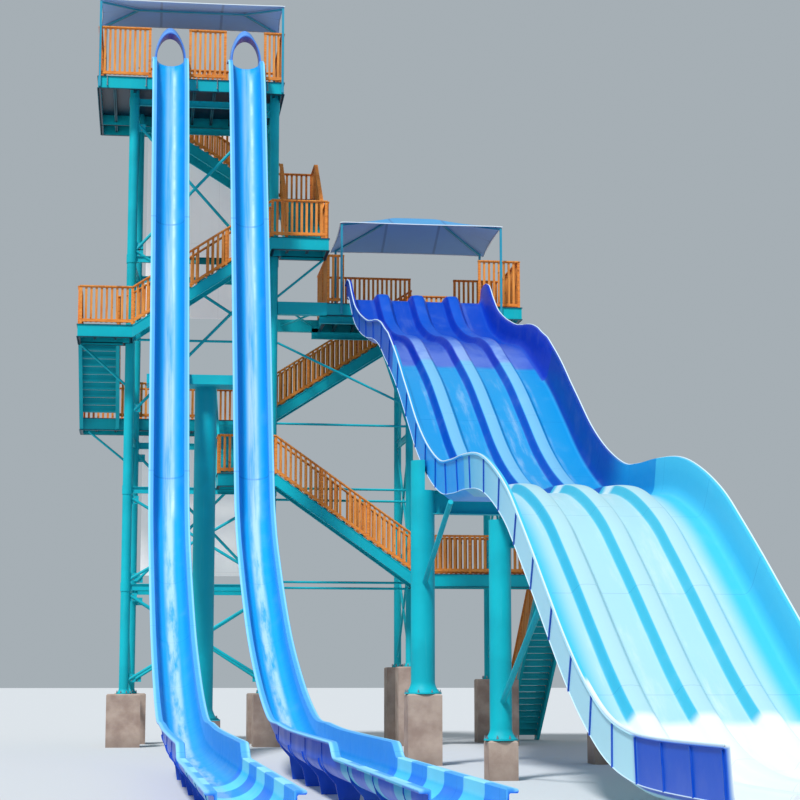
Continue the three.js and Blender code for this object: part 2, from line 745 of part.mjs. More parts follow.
// A canopy: a thin closed skin over a rectangle, with the form of a hip roof.
function canopy(name, [x0, x1, y0, y1], ridge, roof) {
  const plan = [[x0, y0], [x1, y0], [x1, y1], [x0, y1], ...ridge];
  const upper = plan.map(([x, y]) => [x, y, roof(x, y)]);
  const lower = upper.map(([x, y, z]) => [x, y, z - CANOPY_SKIN]);
  const faces = [[0, 1, 5], [0, 5, 4], [1, 2, 5], [2, 3, 4], [2, 4, 5], [3, 0, 4]];
  const triangles = faces.flat();
  for (const [a, b, c] of faces) {
    triangles.push(c + 6, b + 6, a + 6);
  }
  for (let i = 0; i < 4; i += 1) {
    const next = (i + 1) % 4;
    triangles.push(i, i + 6, next + 6, i, next + 6, next);
  }
  const geometry = new THREE.BufferGeometry();
  geometry.setAttribute('position', new THREE.Float32BufferAttribute([...upper, ...lower].flat(), 3));
  geometry.setIndex(triangles);
  add(name, geometry, cloth());
}

// Posts up to a canopy's skin, with a rafter below each hip and below the ridge.
function canopyFrame(name, posts, ridge, roof) {
  const below = ([x, y]) => [x, y, roof(x, y) - RAFTER_DROP];
  const half = CANOPY_POST / 2;
  const pieces = [bar(below(ridge[0]), below(ridge[1]), CANOPY_RAFTER)];
  for (const [x, y, foot, end] of posts) {
    const heights = [-half, half].flatMap((dx) => [-half, half].map((dy) => roof(x + dx, y + dy)));
    pieces.push(pillar(x, y, CANOPY_POST, foot, Math.min(...heights) - CANOPY_SKIN - GAP));
    pieces.push(bar(below([x, y]), below(ridge[end]), CANOPY_RAFTER));
  }
  add(name, fuse(pieces), steel());
}

// A canopy with its frame: the front posts stand against the deck's front face, and the rear
// posts stand on the deck.
function shelter(place, plan, level, face, eaves, rise) {
  const [x0, x1, y0, y1] = plan;
  const inset = (y1 - y0) / 2;
  const middle = (y0 + y1) / 2;
  const ridge = [[x0 + inset, middle], [x1 - inset, middle]];
  const roof = hipRoof(plan, eaves, rise);
  canopy(`${place}_canopy`, plan, ridge, roof);
  const front = face - GAP - CANOPY_POST / 2;
  canopyFrame(`${place}_canopy_frame`, [
    [x0 + 40, front, level - 300, 0], [x1 - 40, front, level - 300, 1],
    [x0 + 150, y1 - 150, level + GAP, 0], [x1 - 150, y1 - 150, level + GAP, 1],
  ], ridge, roof);
}

function decks() {
  const left = LEFT_EDGE;
  deck('top_deck', [
    [TOP_LEFT, TOP_RIGHT, TOP_FRONT, TOP_BACK],
    [TOP_LEFT, TOP_TONGUE, TOP_BACK - 100, REAR_EDGE],
  ], LEVEL_TOP);
  deck('left_landing', [
    [left, 50, FRONT_EDGE, FRONT_INNER],
    [left, FRONT_INNER, FRONT_INNER - 200, SIDE_BACK],
  ], LEVEL_LEFT);
  const clear = TOWER_RIGHT + COLUMN / 2 + GAP;
  deck('right_landing', [
    [3800, RIGHT_EDGE, FRONT_EDGE, FRONT_INNER],
    [clear, RIGHT_EDGE, FRONT_INNER - 200, SIDE_BACK],
  ], LEVEL_RIGHT);
  deck('upper_rear_landing', [[4250, RIGHT_EDGE, 2900, REAR_EDGE]], LEVEL_UPPER_REAR);
  deck('rear_walkway', [[left, 3600, REAR_INNER, REAR_EDGE]], LEVEL_WALKWAY);
  deck('middle_landing', [[2400, 3950, FRONT_EDGE, FRONT_INNER]], LEVEL_MIDDLE);
  deck('lower_landing', [[LOWER_LEFT, LOWER_RIGHT, FRONT_EDGE, LOWER_BACK]], LEVEL_LOWER);
  deck('racer_deck', [
    [PLATFORM_LEFT, PLATFORM_RIGHT, 0, PLATFORM_BACK],
    [TONGUE_LEFT, TONGUE_RIGHT, PLATFORM_BACK - 150, REAR_EDGE],
  ], LEVEL_RACER);
}

function stairs() {
  const front = FRONT_INNER - FRONT_EDGE;
  flight('front_flight', [50, FRONT_EDGE, LEVEL_LEFT], 0, 3750, LEVEL_RIGHT - LEVEL_LEFT, front, 14);
  flight('right_flight', [RIGHT_EDGE, SIDE_BACK, LEVEL_RIGHT], 90,
    2900 - SIDE_BACK, LEVEL_UPPER_REAR - LEVEL_RIGHT, SIDE_STAIR, 12);
  flight('top_flight', [4250, REAR_EDGE, LEVEL_UPPER_REAR], 180,
    4250 - TOP_TONGUE, LEVEL_TOP - LEVEL_UPPER_REAR, SIDE_STAIR, 14);
  flight('left_flight', [LEFT_EDGE, REAR_INNER, LEVEL_WALKWAY], -90,
    REAR_INNER - SIDE_BACK, LEVEL_LEFT - LEVEL_WALKWAY, SIDE_STAIR, 11);
  const racerInner = PLATFORM_BACK + GAP;
  flight('racer_flight', [3600, racerInner, LEVEL_WALKWAY], 0,
    TONGUE_LEFT - 3600, LEVEL_RACER - LEVEL_WALKWAY, REAR_EDGE - racerInner, 17);
  flight('lower_flight', [LOWER_LEFT, FRONT_INNER, LEVEL_LOWER], 180,
    LOWER_LEFT - 3950, LEVEL_MIDDLE - LEVEL_LOWER, front, 15);
  const below = box(LOWER_RIGHT - 2000, LOWER_RIGHT + 1000, 0, GROUND_END + 500, -1000, 0);
  flight('ground_flight', [LOWER_RIGHT - GROUND_STAIR, GROUND_END, 0], -90,
    GROUND_END - LOWER_BACK, LEVEL_LOWER, GROUND_STAIR, 25, [below]);

  const run = REAR_INNER - FRONT_INNER;
  const rise = LEVEL_WALKWAY - LEVEL_MIDDLE;
  const pieces = flightPieces(run, rise, 1000, 11);
  for (const y of [EDGE, 1000 - EDGE]) {
    pieces.push(...railingPieces([[0, y, -GAP - 30], [run, y, rise - GAP - 30]]));
  }
  add('inner_flight', fuse(place(pieces, [3400, FRONT_INNER, LEVEL_MIDDLE], 90)), steel());
}

function railings() {
  const front = FRONT_EDGE + EDGE;
  const rear = REAR_EDGE - EDGE;
  const left = LEFT_EDGE + EDGE;
  const right = RIGHT_EDGE - EDGE;
  const start = front + POST + GAP;
  const stop = rear - POST - GAP;
  railing('upper_front_railing', [
    [left, front, LEVEL_LEFT], [50, front, LEVEL_LEFT], [3800, front, LEVEL_RIGHT],
    [right, front, LEVEL_RIGHT],
  ]);
  const frontInner = FRONT_INNER - EDGE;
  railing('upper_inner_railing', [[50, frontInner, LEVEL_LEFT], [3800, frontInner, LEVEL_RIGHT]]);
  railing('right_outer_railing', [
    [right, start, LEVEL_RIGHT], [right, SIDE_BACK, LEVEL_RIGHT], [right, 2900, LEVEL_UPPER_REAR],
    [right, stop, LEVEL_UPPER_REAR],
  ]);
  const inner = 4250 + EDGE;
  const topInner = REAR_EDGE - SIDE_STAIR + EDGE;
  railing('right_inner_railing', [
    [inner, SIDE_BACK, LEVEL_RIGHT], [inner, 2900, LEVEL_UPPER_REAR],
    [inner, topInner, LEVEL_UPPER_REAR], [TOP_TONGUE, topInner, LEVEL_TOP],
  ]);
  railing('top_rear_railing', [
    [right, rear, LEVEL_UPPER_REAR], [4250, rear, LEVEL_UPPER_REAR], [TOP_TONGUE, rear, LEVEL_TOP],
    [TOP_LEFT + EDGE, rear, LEVEL_TOP],
  ]);
  topRailings(stop);
  railing('left_outer_railing', [
    [left, start, LEVEL_LEFT], [left, SIDE_BACK, LEVEL_LEFT], [left, REAR_INNER, LEVEL_WALKWAY],
    [left, stop, LEVEL_WALKWAY],
  ]);
  const leftInner = LEFT_EDGE + SIDE_STAIR - EDGE;
  railing('left_inner_railing', [
    [leftInner, SIDE_BACK, LEVEL_LEFT], [leftInner, REAR_INNER + EDGE, LEVEL_WALKWAY],
    [2400 - EDGE, REAR_INNER + EDGE, LEVEL_WALKWAY],
  ]);
  railing('rear_railing', [
    [left, rear, LEVEL_WALKWAY], [3600, rear, LEVEL_WALKWAY], [TONGUE_LEFT, rear, LEVEL_RACER],
    [TONGUE_RIGHT, rear, LEVEL_RACER],
  ]);
  const racerInner = PLATFORM_BACK + GAP + EDGE;
  railing('racer_flight_railing', [
    [3600, racerInner, LEVEL_WALKWAY], [TONGUE_LEFT, racerInner, LEVEL_RACER],
  ]);
  const nearStair = LOWER_RIGHT - GROUND_STAIR + EDGE;
  const lowerRight = LOWER_RIGHT - EDGE;
  railing('lower_front_railing', [
    [2400 + EDGE, FRONT_INNER - EDGE, LEVEL_MIDDLE], [2400 + EDGE, front, LEVEL_MIDDLE],
    [3950, front, LEVEL_MIDDLE], [LOWER_LEFT, front, LEVEL_LOWER], [lowerRight, front, LEVEL_LOWER],
    [lowerRight, LOWER_BACK, LEVEL_LOWER], [lowerRight, GROUND_END, 0],
  ]);
  railing('lower_inner_railing', [
    [3950, frontInner, LEVEL_MIDDLE], [LOWER_LEFT, frontInner, LEVEL_LOWER],
  ]);
  railing('lower_back_railing', [
    [LOWER_LEFT + EDGE, LOWER_BACK - EDGE, LEVEL_LOWER], [nearStair, LOWER_BACK - EDGE, LEVEL_LOWER],
    [nearStair, LOWER_BACK, LEVEL_LOWER], [nearStair, GROUND_END, 0],
  ]);
  const racerLeft = PLATFORM_LEFT + EDGE;
  const racerRight = PLATFORM_RIGHT - EDGE;
  const racerBack = PLATFORM_BACK - EDGE;
  railing('racer_left_railing', [
    [5880, EDGE, LEVEL_RACER], [racerLeft, EDGE, LEVEL_RACER], [racerLeft, racerBack, LEVEL_RACER],
    [TONGUE_LEFT - EDGE, racerBack, LEVEL_RACER],
  ], RAIL_RACER);
  railing('racer_right_railing', [
    [TONGUE_RIGHT + EDGE, racerBack, LEVEL_RACER], [racerRight, racerBack, LEVEL_RACER],
    [racerRight, 260, LEVEL_RACER], [9700, 260, LEVEL_RACER],
  ], RAIL_RACER);
}

// The top deck's railings stop at both sides of each entry hoop.
function topRailings(stop) {
  const y = TOP_FRONT + EDGE;
  const left = TOP_LEFT + EDGE;
  const right = TOP_RIGHT - EDGE;
  const back = TOP_BACK - EDGE;
  const clear = FLUME_HALF + 20;
  const [first, second] = SPEED_CENTRES;
  railing('top_left_railing', [
    [first - clear, y, LEVEL_TOP], [left, y, LEVEL_TOP], [left, stop, LEVEL_TOP],
  ], RAIL_TALL);
  railing('top_middle_railing', [
    [first + clear, y, LEVEL_TOP], [second - clear, y, LEVEL_TOP],
  ], RAIL_TALL);
  railing('top_right_railing', [
    [second + clear, y, LEVEL_TOP], [right, y, LEVEL_TOP], [right, back, LEVEL_TOP],
    [TOP_TONGUE + EDGE, back, LEVEL_TOP],
  ], RAIL_TALL);
}

function screens() {
  const y = REAR_EDGE + GAP;
  add('rear_upper_screen', box(380, 3600, y, y + 40, 12380, LEVEL_TOP - 100), sheet());
  add('rear_lower_screen', box(380, 3600, y, y + 40, 4770, LEVEL_WALKWAY - 300), sheet());
}

towerFrames();
sideBraces('tower_left_braces', 0, REAR_LEFT);
sideBraces('tower_right_braces', TOWER_RIGHT, TOWER_RIGHT);
decks();
stairs();
railings();
speedSlide('left', SPEED_CENTRES[0]);
speedSlide('right', SPEED_CENTRES[1]);
slideSupport();
racerSlide();
racerBent('racer_upper_bent', 12310, 2000, 510, 320, 720, 1480, { from: 3700, reach: 3300, to: 5350 });
racerBent('racer_lower_bent', 18810, 1750, 400, 110, 530, 700, { from: 1300, reach: 3700, to: 3300 });
platformFrame('platform_left_frame', PLATFORM_COLUMNS[0], PLATFORM_PLINTH_TOPS[0], platformTies());
platformFrame('platform_right_frame', PLATFORM_COLUMNS[1], PLATFORM_PLINTH_TOPS[1], []);
shelter('top', [TOP_LEFT, TOP_RIGHT, -830, 1300], LEVEL_TOP, TOP_FRONT, [20370, 20300], 185);
shelter('racer', [5760, 10350, -80, 3060], LEVEL_RACER, 0, [14450, 14265], 620);
screens();

export default tower;
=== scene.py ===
"""Looks of a water slide tower: two speed slides, a racer slide in lanes and their stair tower.

Metres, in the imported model's frame: X to the right along the tower's front, Y to its back,
Z up. The slides run towards -Y.
"""
import math

import bpy
import numpy as np
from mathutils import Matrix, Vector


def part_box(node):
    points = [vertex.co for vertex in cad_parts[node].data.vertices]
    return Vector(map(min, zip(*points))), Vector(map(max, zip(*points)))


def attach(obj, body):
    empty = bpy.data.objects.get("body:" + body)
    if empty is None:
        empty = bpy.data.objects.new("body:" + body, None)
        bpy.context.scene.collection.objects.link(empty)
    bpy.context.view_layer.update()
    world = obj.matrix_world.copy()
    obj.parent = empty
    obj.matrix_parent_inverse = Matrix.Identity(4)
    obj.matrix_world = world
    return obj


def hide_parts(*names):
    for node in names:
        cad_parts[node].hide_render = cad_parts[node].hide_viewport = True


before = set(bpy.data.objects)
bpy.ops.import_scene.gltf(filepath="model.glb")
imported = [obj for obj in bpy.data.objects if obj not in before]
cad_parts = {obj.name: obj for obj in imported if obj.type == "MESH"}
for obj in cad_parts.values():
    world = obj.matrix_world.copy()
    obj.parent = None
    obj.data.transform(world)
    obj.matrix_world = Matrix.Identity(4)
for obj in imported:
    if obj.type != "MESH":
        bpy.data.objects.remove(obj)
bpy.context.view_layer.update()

# Walking levels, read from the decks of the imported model
LEVEL_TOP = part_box("top_deck")[1].z
LEVEL_UPPER_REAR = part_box("upper_rear_landing")[1].z
LEVEL_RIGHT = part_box("right_landing")[1].z
LEVEL_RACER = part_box("racer_deck")[1].z
LEVEL_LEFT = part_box("left_landing")[1].z
LEVEL_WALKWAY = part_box("rear_walkway")[1].z
LEVEL_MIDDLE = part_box("middle_landing")[1].z
LEVEL_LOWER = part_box("lower_landing")[1].z

# Plan of the decks
FRONT_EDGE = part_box("left_landing")[0].y
REAR_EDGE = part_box("rear_walkway")[1].y
LEFT_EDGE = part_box("left_landing")[0].x
RIGHT_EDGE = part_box("right_landing")[1].x
SIDE_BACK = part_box("left_landing")[1].y
WALKWAY_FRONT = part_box("rear_walkway")[0].y
TOP_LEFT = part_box("top_deck")[0].x
TOP_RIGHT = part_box("top_deck")[1].x
TOP_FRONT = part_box("top_deck")[0].y
TOP_BACK = 3.0
TOP_TONGUE = 0.35
SIDE_STAIR = 1.1
FRONT_STAIR = (0.05, 3.8)
RIGHT_BACK = 2.9
TOP_STAIR_FOOT = 4.25
WALKWAY_END = 3.6
MIDDLE_LEFT = 2.4
MIDDLE_RIGHT = 3.95
INNER_STAIR = 1.0
NOSING = 0.03
TREAD_GAP = 0.012
STRINGER = 0.082
DECK_DEPTH = 0.35
BOARD_DEPTH = 0.06
SEAT_GAP = 0.0003

# Tower columns: where they stand in the front and in the rear frame, their radius and plinths
TOWER_X = {"front": (0.0, 3.9), "rear": (0.15, 3.9)}
TOWER_Y = (0.0, 2.8)
COLUMN = 0.13
TOWER_PLINTH = (0.9, 1.4)
FRONT_INNER = -COLUMN - SEAT_GAP

# Steel: beams (depth, width), radius of a brace and of a knee rod, thickness of a base plate
BEAM = (0.18, 0.09)
BRACE = 0.042
KNEE = 0.034
PLATE = 0.03

# Racer platform
PLATFORM_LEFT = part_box("racer_deck")[0].x
PLATFORM_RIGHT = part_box("racer_deck")[1].x
PLATFORM_BACK = 3.15
TONGUE_LEFT = 8.2
TONGUE_RIGHT = 9.4
LOWER_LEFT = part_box("lower_landing")[0].x
LOWER_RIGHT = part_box("lower_landing")[1].x
LOWER_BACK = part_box("lower_landing")[1].y
GROUND_STAIR = 1.0
GROUND_END = LOWER_BACK + 5.4

# Railings
RAIL_HEIGHT = 1.03
RAIL_TALL = 1.39
RAIL_RACER = 1.35
RAIL_EDGE = 0.037
POST_CLEAR = 0.0703
RACER_RAIL_LEFT = 5.88
RACER_RAIL_RIGHT = 9.7
RACER_RAIL_FRONT = 0.26
POST_SPACING = 1.5
PICKET = (0.03, 0.064)
CAP_BOARD = (0.11, 0.03)
PICKET_SPACING = 0.138

# Speed slides, each with its centre at the top, its turn and its profile (distance, level)
SPEED_CENTRES = {"left": 0.95, "right": 3.02}
SPEED_START = -0.45
SPEED_TURN = math.radians(1)
SPEED_PROFILE = (
    (0, 18.56), (0.5, 18.48), (1.005, 17.5), (3.005, 12.0), (4.865, 6.7), (5.755, 5.18),
    (7.205, 4.05), (8.905, 3.02), (10.605, 2.19), (12.855, 1.4), (14.905, 0.87), (17.105, 0.53),
    (19.505, 0.42), (22.305, 0.39), (26.505, 0.38), (30.305, 0.365), (34.505, 0.35),
)
CATCH_START = 15.805
CATCH_END = 26.505
RUNOUT_END = 34.505
FLUME_INNER = 0.37
FLUME_WALL = 0.03
FLUME_HALF = 0.495
ENTRY_RIM = 0.24
FLUME_RIM = 0.42
CATCH_RIM = 0.56
RUNOUT_RIM = 0.37
CATCH_RISE = 2.5
RUNOUT_STEP = 0.55
FLUME_JOINT = 2.44
COLLAR_DEPTH = 0.022
HOOD_HALF = 0.425
HOOD_CLEAR = 0.605
HOOD_CROWN = 0.93
HOOD_FALL = 0.28

# Racer slide
RACER_CENTRE = 7.88
RACER_START = 0.1
RACER_TURN = math.radians(2.2)
RACER_PLACE = (RACER_CENTRE, RACER_START, RACER_TURN)
RACER_PROFILE = (
    (0, 12.2205), (0.26, 12.2205), (0.46, 12.13), (0.86, 11.77), (1.48, 11.31), (2.08, 11.02),
    (2.9, 10.72), (3.8, 10.48), (4.67, 10.31), (5.41, 10.1), (6.0, 9.86), (6.6, 9.54), (7.31, 9.18),
    (8.44, 8.55), (9.74, 7.67), (11.09, 6.74), (12.49, 6.02), (13.97, 5.52), (15.21, 5.39),
    (16.51, 5.35), (17.81, 5.23), (18.91, 4.93), (20.01, 4.46), (20.91, 3.9), (21.91, 3.23),
    (23.01, 2.46), (24.11, 1.72), (25.21, 1.1), (26.41, 0.61), (27.61, 0.37), (29.01, 0.29),
    (31.81, 0.28),
)
RACER_END = RACER_PROFILE[-1][0]
RACER_SPLITS = {"top": (0, 7.81), "middle": (7.81, 16.51), "lower": (16.51, RACER_END)}
RACER_HALF = 1.93
RACER_WALL = 0.74
RACER_WALLS = (
    (0, 0.46), (0.46, 0.6), (3.2, 0.56), (4.3, 0.51), (4.82, 0.53), (6.17, 0.75), (7.1, 0.84),
    (9.2, RACER_WALL),
)
RACER_SHELL = 0.07
LANE_PITCH = 0.975
DIVIDER_HIGH = 0.165
DIVIDER_TOP = 0.13
DIVIDER_FOOT = 0.24
DIVIDER_EDGE = DIVIDER_FOOT + 0.03
DIVIDER_CROWN = 0.012
LANES_HALF = 1.3
FLOOR_HALF = 1.7
RACER_JOINT = 1.22
RIB_DEPTH = 0.024

# Supports that stand under the slides: X, Y, column radius, plinth width, plinth top
SUPPORT_FOOT = (1.96, -3.95, 0.27, 0.9, 0.8)
SADDLE = 0.32
SLEEVE = 0.004
PLATFORM_X = (7.73, 10.35)
PLATFORM_Y = (0.18, 2.75)
PLATFORM_COLUMN = 0.105
PLATFORM_PLINTH = 0.69
PLATFORM_PLINTH_TOPS = (2.13, 1.8)

# Canopies: levels of the front and the rear eave, and how far the ridge rises above them
CANOPIES = {"top": (20.37, 20.3, 0.185), "racer": (14.45, 14.265, 0.62)}

# Camera: where the photograph was taken from, with its pitch and its turn to the right
CAMERA_PLACE = (0.43, -54.5, 1.77)
CAMERA_PITCH = math.radians(97.97)
CAMERA_TURN = math.radians(-7.336)
CAMERA_LENS = 90


def paint(red, green, blue):
    """Linear colour of an sRGB colour from 0 to 255: (c / 255 + 0.055) / 1.055 to the power 2.4."""
    values = np.array([red, green, blue]) / 255
    linear = np.where(values > 0.04045, ((values + 0.055) / 1.055) ** 2.4, values / 12.92)
    return (*linear.tolist(), 1.0)


class Value:
    """A number that varies over a surface. Arithmetic on it adds Math nodes to its finish."""

    def __init__(self, finish, socket):
        self.finish = finish
        self.socket = socket

    def maths(self, operation, *others):
        return self.finish.maths(operation, self, *others)

    def __add__(self, other):
        return self.maths("ADD", other)

    def __mul__(self, other):
        return self.maths("MULTIPLY", other)

    def __sub__(self, other):
        return self.maths("SUBTRACT", other)

    def __rsub__(self, other):
        return self.finish.maths("SUBTRACT", other, self)

    def __truediv__(self, other):
        return self.maths("DIVIDE", other)

    def __abs__(self):
        return self.maths("ABSOLUTE")

    def __gt__(self, other):
        return self.maths("GREATER_THAN", other)

    def __lt__(self, other):
        return self.maths("LESS_THAN", other)


class Finish:
    """A procedural material: a Principled shader with nodes added by plain expressions."""

    def __init__(self, name, roughness=0.5, metallic=0.0, coat=0.0):
        self.material = bpy.data.materials.new(name)
        self.material.use_nodes = True
        self.tree = self.material.node_tree
        self.shader = self.tree.nodes["Principled BSDF"]
        self.shader.inputs["Roughness"].default_value = roughness
        self.shader.inputs["Metallic"].default_value = metallic
        self.shader.inputs["Coat Weight"].default_value = coat
        self.shader.inputs["Specular IOR Level"].default_value = 0.25

    def node(self, kind, settings=None, **inputs):
        """Adds a node, makes its settings first, then sets or links its inputs by name."""
        made = self.tree.nodes.new("ShaderNode" + kind)
        for key, value in (settings or {}).items():
            setattr(made, key, value)
        for key, value in inputs.items():
            self.feed(made.inputs[key.replace("_", " ")], value)
        return made

    def feed(self, socket, value):
        """Links or sets a socket. A plain colour is in sRGB, from 0 to 255."""
        if isinstance(value, Value):
            value = value.socket
        if isinstance(value, bpy.types.NodeSocket):
            self.tree.links.new(value, socket)
        else:
            socket.default_value = paint(*value) if socket.type == "RGBA" else value

    def maths(self, operation, *values):
        made = self.node("Math", {"operation": operation})
        for socket, value in zip(made.inputs, values):
            self.feed(socket, value)
        return Value(self, made.outputs[0])

    def place(self, scale=(1, 1, 1)):
        """Object coordinates, stretched by a scale along X, Y and Z."""
        here = self.node("TexCoord").outputs["Object"]
        return self.node("Mapping", Vector=here, Scale=scale).outputs["Vector"]

    def axis(self, vector, index):
        return Value(self, self.node("SeparateXYZ", Vector=vector).outputs[index])

    def noise(self, scale, stretch=(1, 1, 1), detail=4.0, rough=0.55, vector=None):
        """Noise from 0 to 1 on Object coordinates or on another vector."""
        vector = self.place(stretch) if vector is None else vector
        made = self.node("TexNoise", Vector=vector, Scale=scale, Detail=detail, Roughness=rough)
        return Value(self, made.outputs[0])

    def smooth(self, value, low, high, to_low=0.0, to_high=1.0):
        """Eases from to_low to to_high while the value goes from low to high."""
        made = self.node("MapRange", {"interpolation_type": "SMOOTHSTEP"})
        for socket, number in zip(made.inputs, (value, low, high, to_low, to_high)):
            self.feed(socket, number)
        return Value(self, made.outputs[0])

    def blend(self, factor, first, second):
        """Mixes two colours by a factor."""
        made = self.node("Mix", {"data_type": "RGBA"})
        for index, value in ((0, factor), (6, first), (7, second)):
            self.feed(made.inputs[index], value)
        return made.outputs[2]

    def stored(self, name):
        """A vector stored on the surface's points under a name."""
        return self.node("Attribute", {"attribute_name": name}).outputs["Vector"]

    def facing(self):
        """How far the surface faces up, from -1 to 1."""
        return self.axis(self.node("NewGeometry").outputs["Normal"], 2)

    def near_multiple(self, value, step, half):
        """1 where the value is within half of a multiple of the step, else 0."""
        return self.maths("PINGPONG", value, step / 2) < half

    def bump(self, height, strength, distance):
        made = self.node("Bump", Strength=strength, Distance=distance, Height=height)
        self.feed(self.shader.inputs["Normal"], made.outputs[0])

    def set(self, name, value):
        self.feed(self.shader.inputs[name], value)


def steel_finish(name="teal_steel", lit=(0, 184, 197), dark=(0, 168, 182)):
    """Painted steel: faint fading, thin rain streaks down the faces and a few rust specks."""
    finish = Finish(name)
    fade = finish.noise(0.8, detail=3)
    streak = finish.noise(9, stretch=(1, 1, 0.06), detail=5)
    speck = finish.noise(38, detail=6, rough=0.7)
    colour = finish.blend(finish.smooth(fade, 0.35, 0.68), dark, lit)
    colour = finish.blend(finish.smooth(streak, 0.58, 0.85, 0, 0.18), colour, (120, 200, 200))
    rust = finish.smooth(speck, 0.76, 0.84, 0, 0.6)
    colour = finish.blend(rust, colour, (96, 78, 60))
    finish.set("Base Color", colour)
    finish.set("Roughness", finish.smooth(streak, 0.2, 0.8, 0.5, 0.64) + rust * 0.2)
    finish.bump(finish.noise(120, detail=3) * 0.5 + speck, 0.1, 0.003)
    return finish.material


def concrete_finish():
    """Cast concrete: pale pinkish grey, darker towards its foot, with pores and board marks."""
    finish = Finish("cast_concrete", roughness=0.85)
    cloud = finish.noise(2.2, detail=6)
    pore = finish.noise(46, detail=4, rough=0.7)
    height = finish.axis(finish.place(), 2)
    colour = finish.blend(finish.smooth(cloud, 0.3, 0.7), (152, 130, 118), (184, 164, 150))
    colour = finish.blend(finish.smooth(height, 0.0, 0.5, 0.45, 0.0), colour, (120, 108, 100))
    colour = finish.blend(finish.smooth(pore, 0.62, 0.75, 0, 0.5), colour, (110, 102, 98))
    board = finish.near_multiple(height, 0.3, 0.006)
    finish.set("Base Color", colour)
    finish.set("Roughness", finish.smooth(cloud, 0.3, 0.7, 0.75, 0.95))
    finish.bump(pore - board * 0.8, 0.35, 0.006)
    return finish.material


def timber_finish(name, lit, dark, stretch):
    """Stained timber: long grain, knots, darker heart streaks and sun-bleached patches."""
    finish = Finish(name, roughness=0.6)
    grain = finish.noise(7, stretch=stretch, detail=8, rough=0.65)
    fine = finish.noise(26, stretch=stretch, detail=5)
    patch = finish.noise(1.1, detail=2)
    colour = finish.blend(finish.smooth(grain, 0.32, 0.66), dark, lit)
    colour = finish.blend(finish.smooth(patch, 0.45, 0.75, 0, 0.4), colour, (228, 158, 84))
    knot = finish.smooth(finish.noise(3.4, stretch=(2, 2, 2), detail=1), 0.7, 0.76, 0, 0.6)
    colour = finish.blend(knot, colour, (92, 44, 18))
    finish.set("Base Color", colour)
    finish.set("Roughness", finish.smooth(fine, 0.3, 0.7, 0.5, 0.75))
    finish.bump(grain + fine * 0.5, 0.3, 0.004)
    return finish.material


def deck_finish():
    """The deck beams: painted steel on the sides, weathered timber on what faces up, and a dark navy painted
    shade on what faces down.
    """
    finish = Finish("deck_beams")
    fade = finish.noise(0.8, detail=3)
    streak = finish.noise(9, stretch=(1, 1, 0.06), detail=5)
    steel = finish.blend(finish.smooth(fade, 0.35, 0.68), (0, 172, 184), (0, 186, 198))
    steel = finish.blend(finish.smooth(streak, 0.58, 0.85, 0, 0.18), steel, (120, 200, 200))
    grain = finish.noise(9, stretch=(0.3, 4, 4), detail=7)
    wood = finish.blend(finish.smooth(grain, 0.3, 0.7), (104, 72, 52), (160, 122, 92))
    up = finish.smooth(finish.facing(), 0.5, 0.8)
    # painted shade: faces that turn down are painted dark navy
    down = finish.smooth(finish.facing(), -0.8, -0.5, 1, 0)
    finish.set("Base Color", finish.blend(down, finish.blend(up, steel, wood), (0, 42, 66)))
    finish.set("Roughness", finish.smooth(up, 0, 1, 0.42, 0.8))
    finish.bump(grain * up + streak * 0.3, 0.2, 0.004)
    return finish.material


def gel_coat(name, roughness=0.16):
    """A glossy moulded plastic finish that keeps where it is across, along and on which side.

    The stored vector lay holds the distance across, the distance along and 1 inside, 0 outside.
    """
    finish = Finish(name, roughness=roughness, coat=0.04)
    finish.set("Coat Roughness", 0.3)
    lay = finish.stored("lay")
    across, along, inside = (finish.axis(lay, i) for i in range(3))
    return finish, lay, across, along, inside


def finish_gel(finish, colour, lay, along, joint, wet):
    """Adds what all the slides share: faint seams, hazy scuffs, wet gloss and orange-peel bump."""
    seam = finish.near_multiple(along, joint, 0.008)
    haze = finish.noise(1.6, detail=6, rough=0.6)
    colour = finish.blend(finish.smooth(haze, 0.5, 0.85, 0, 0.07), colour, (190, 225, 245))
    colour = finish.blend(seam * 0.22, colour, (16, 70, 150))
    finish.set("Base Color", colour)
    gloss = finish.smooth(haze, 0.3, 0.75, 0.34, 0.48) + seam * 0.2 - wet * 0.08
    finish.set("Roughness", gloss)
    peel = finish.noise(70, detail=2)
    ripple = finish.noise(5, detail=3, vector=lay)
    finish.bump(peel * 0.12 + ripple * wet * 0.8 - seam * 0.5, 0.12, 0.005)
    return finish.material


def plain_gel(name, colour, within=None):
    """One colour of gel coat, with another one inside if given."""
    finish, *_, inside = gel_coat(name)
    haze = finish.noise(1.4, detail=5)
    tint = finish.blend(finish.smooth(haze, 0.4, 0.8, 0, 0.1), colour, (170, 215, 245))
    if within:
        # on the hood the inside colour is painted shade under its arch
        tint = finish.blend(inside, tint, within)
    finish.set("Base Color", tint)
    finish.set("Roughness", finish.smooth(haze, 0.3, 0.7, 0.28, 0.42))
    finish.bump(finish.noise(70, detail=2), 0.08, 0.004)
    return finish.material


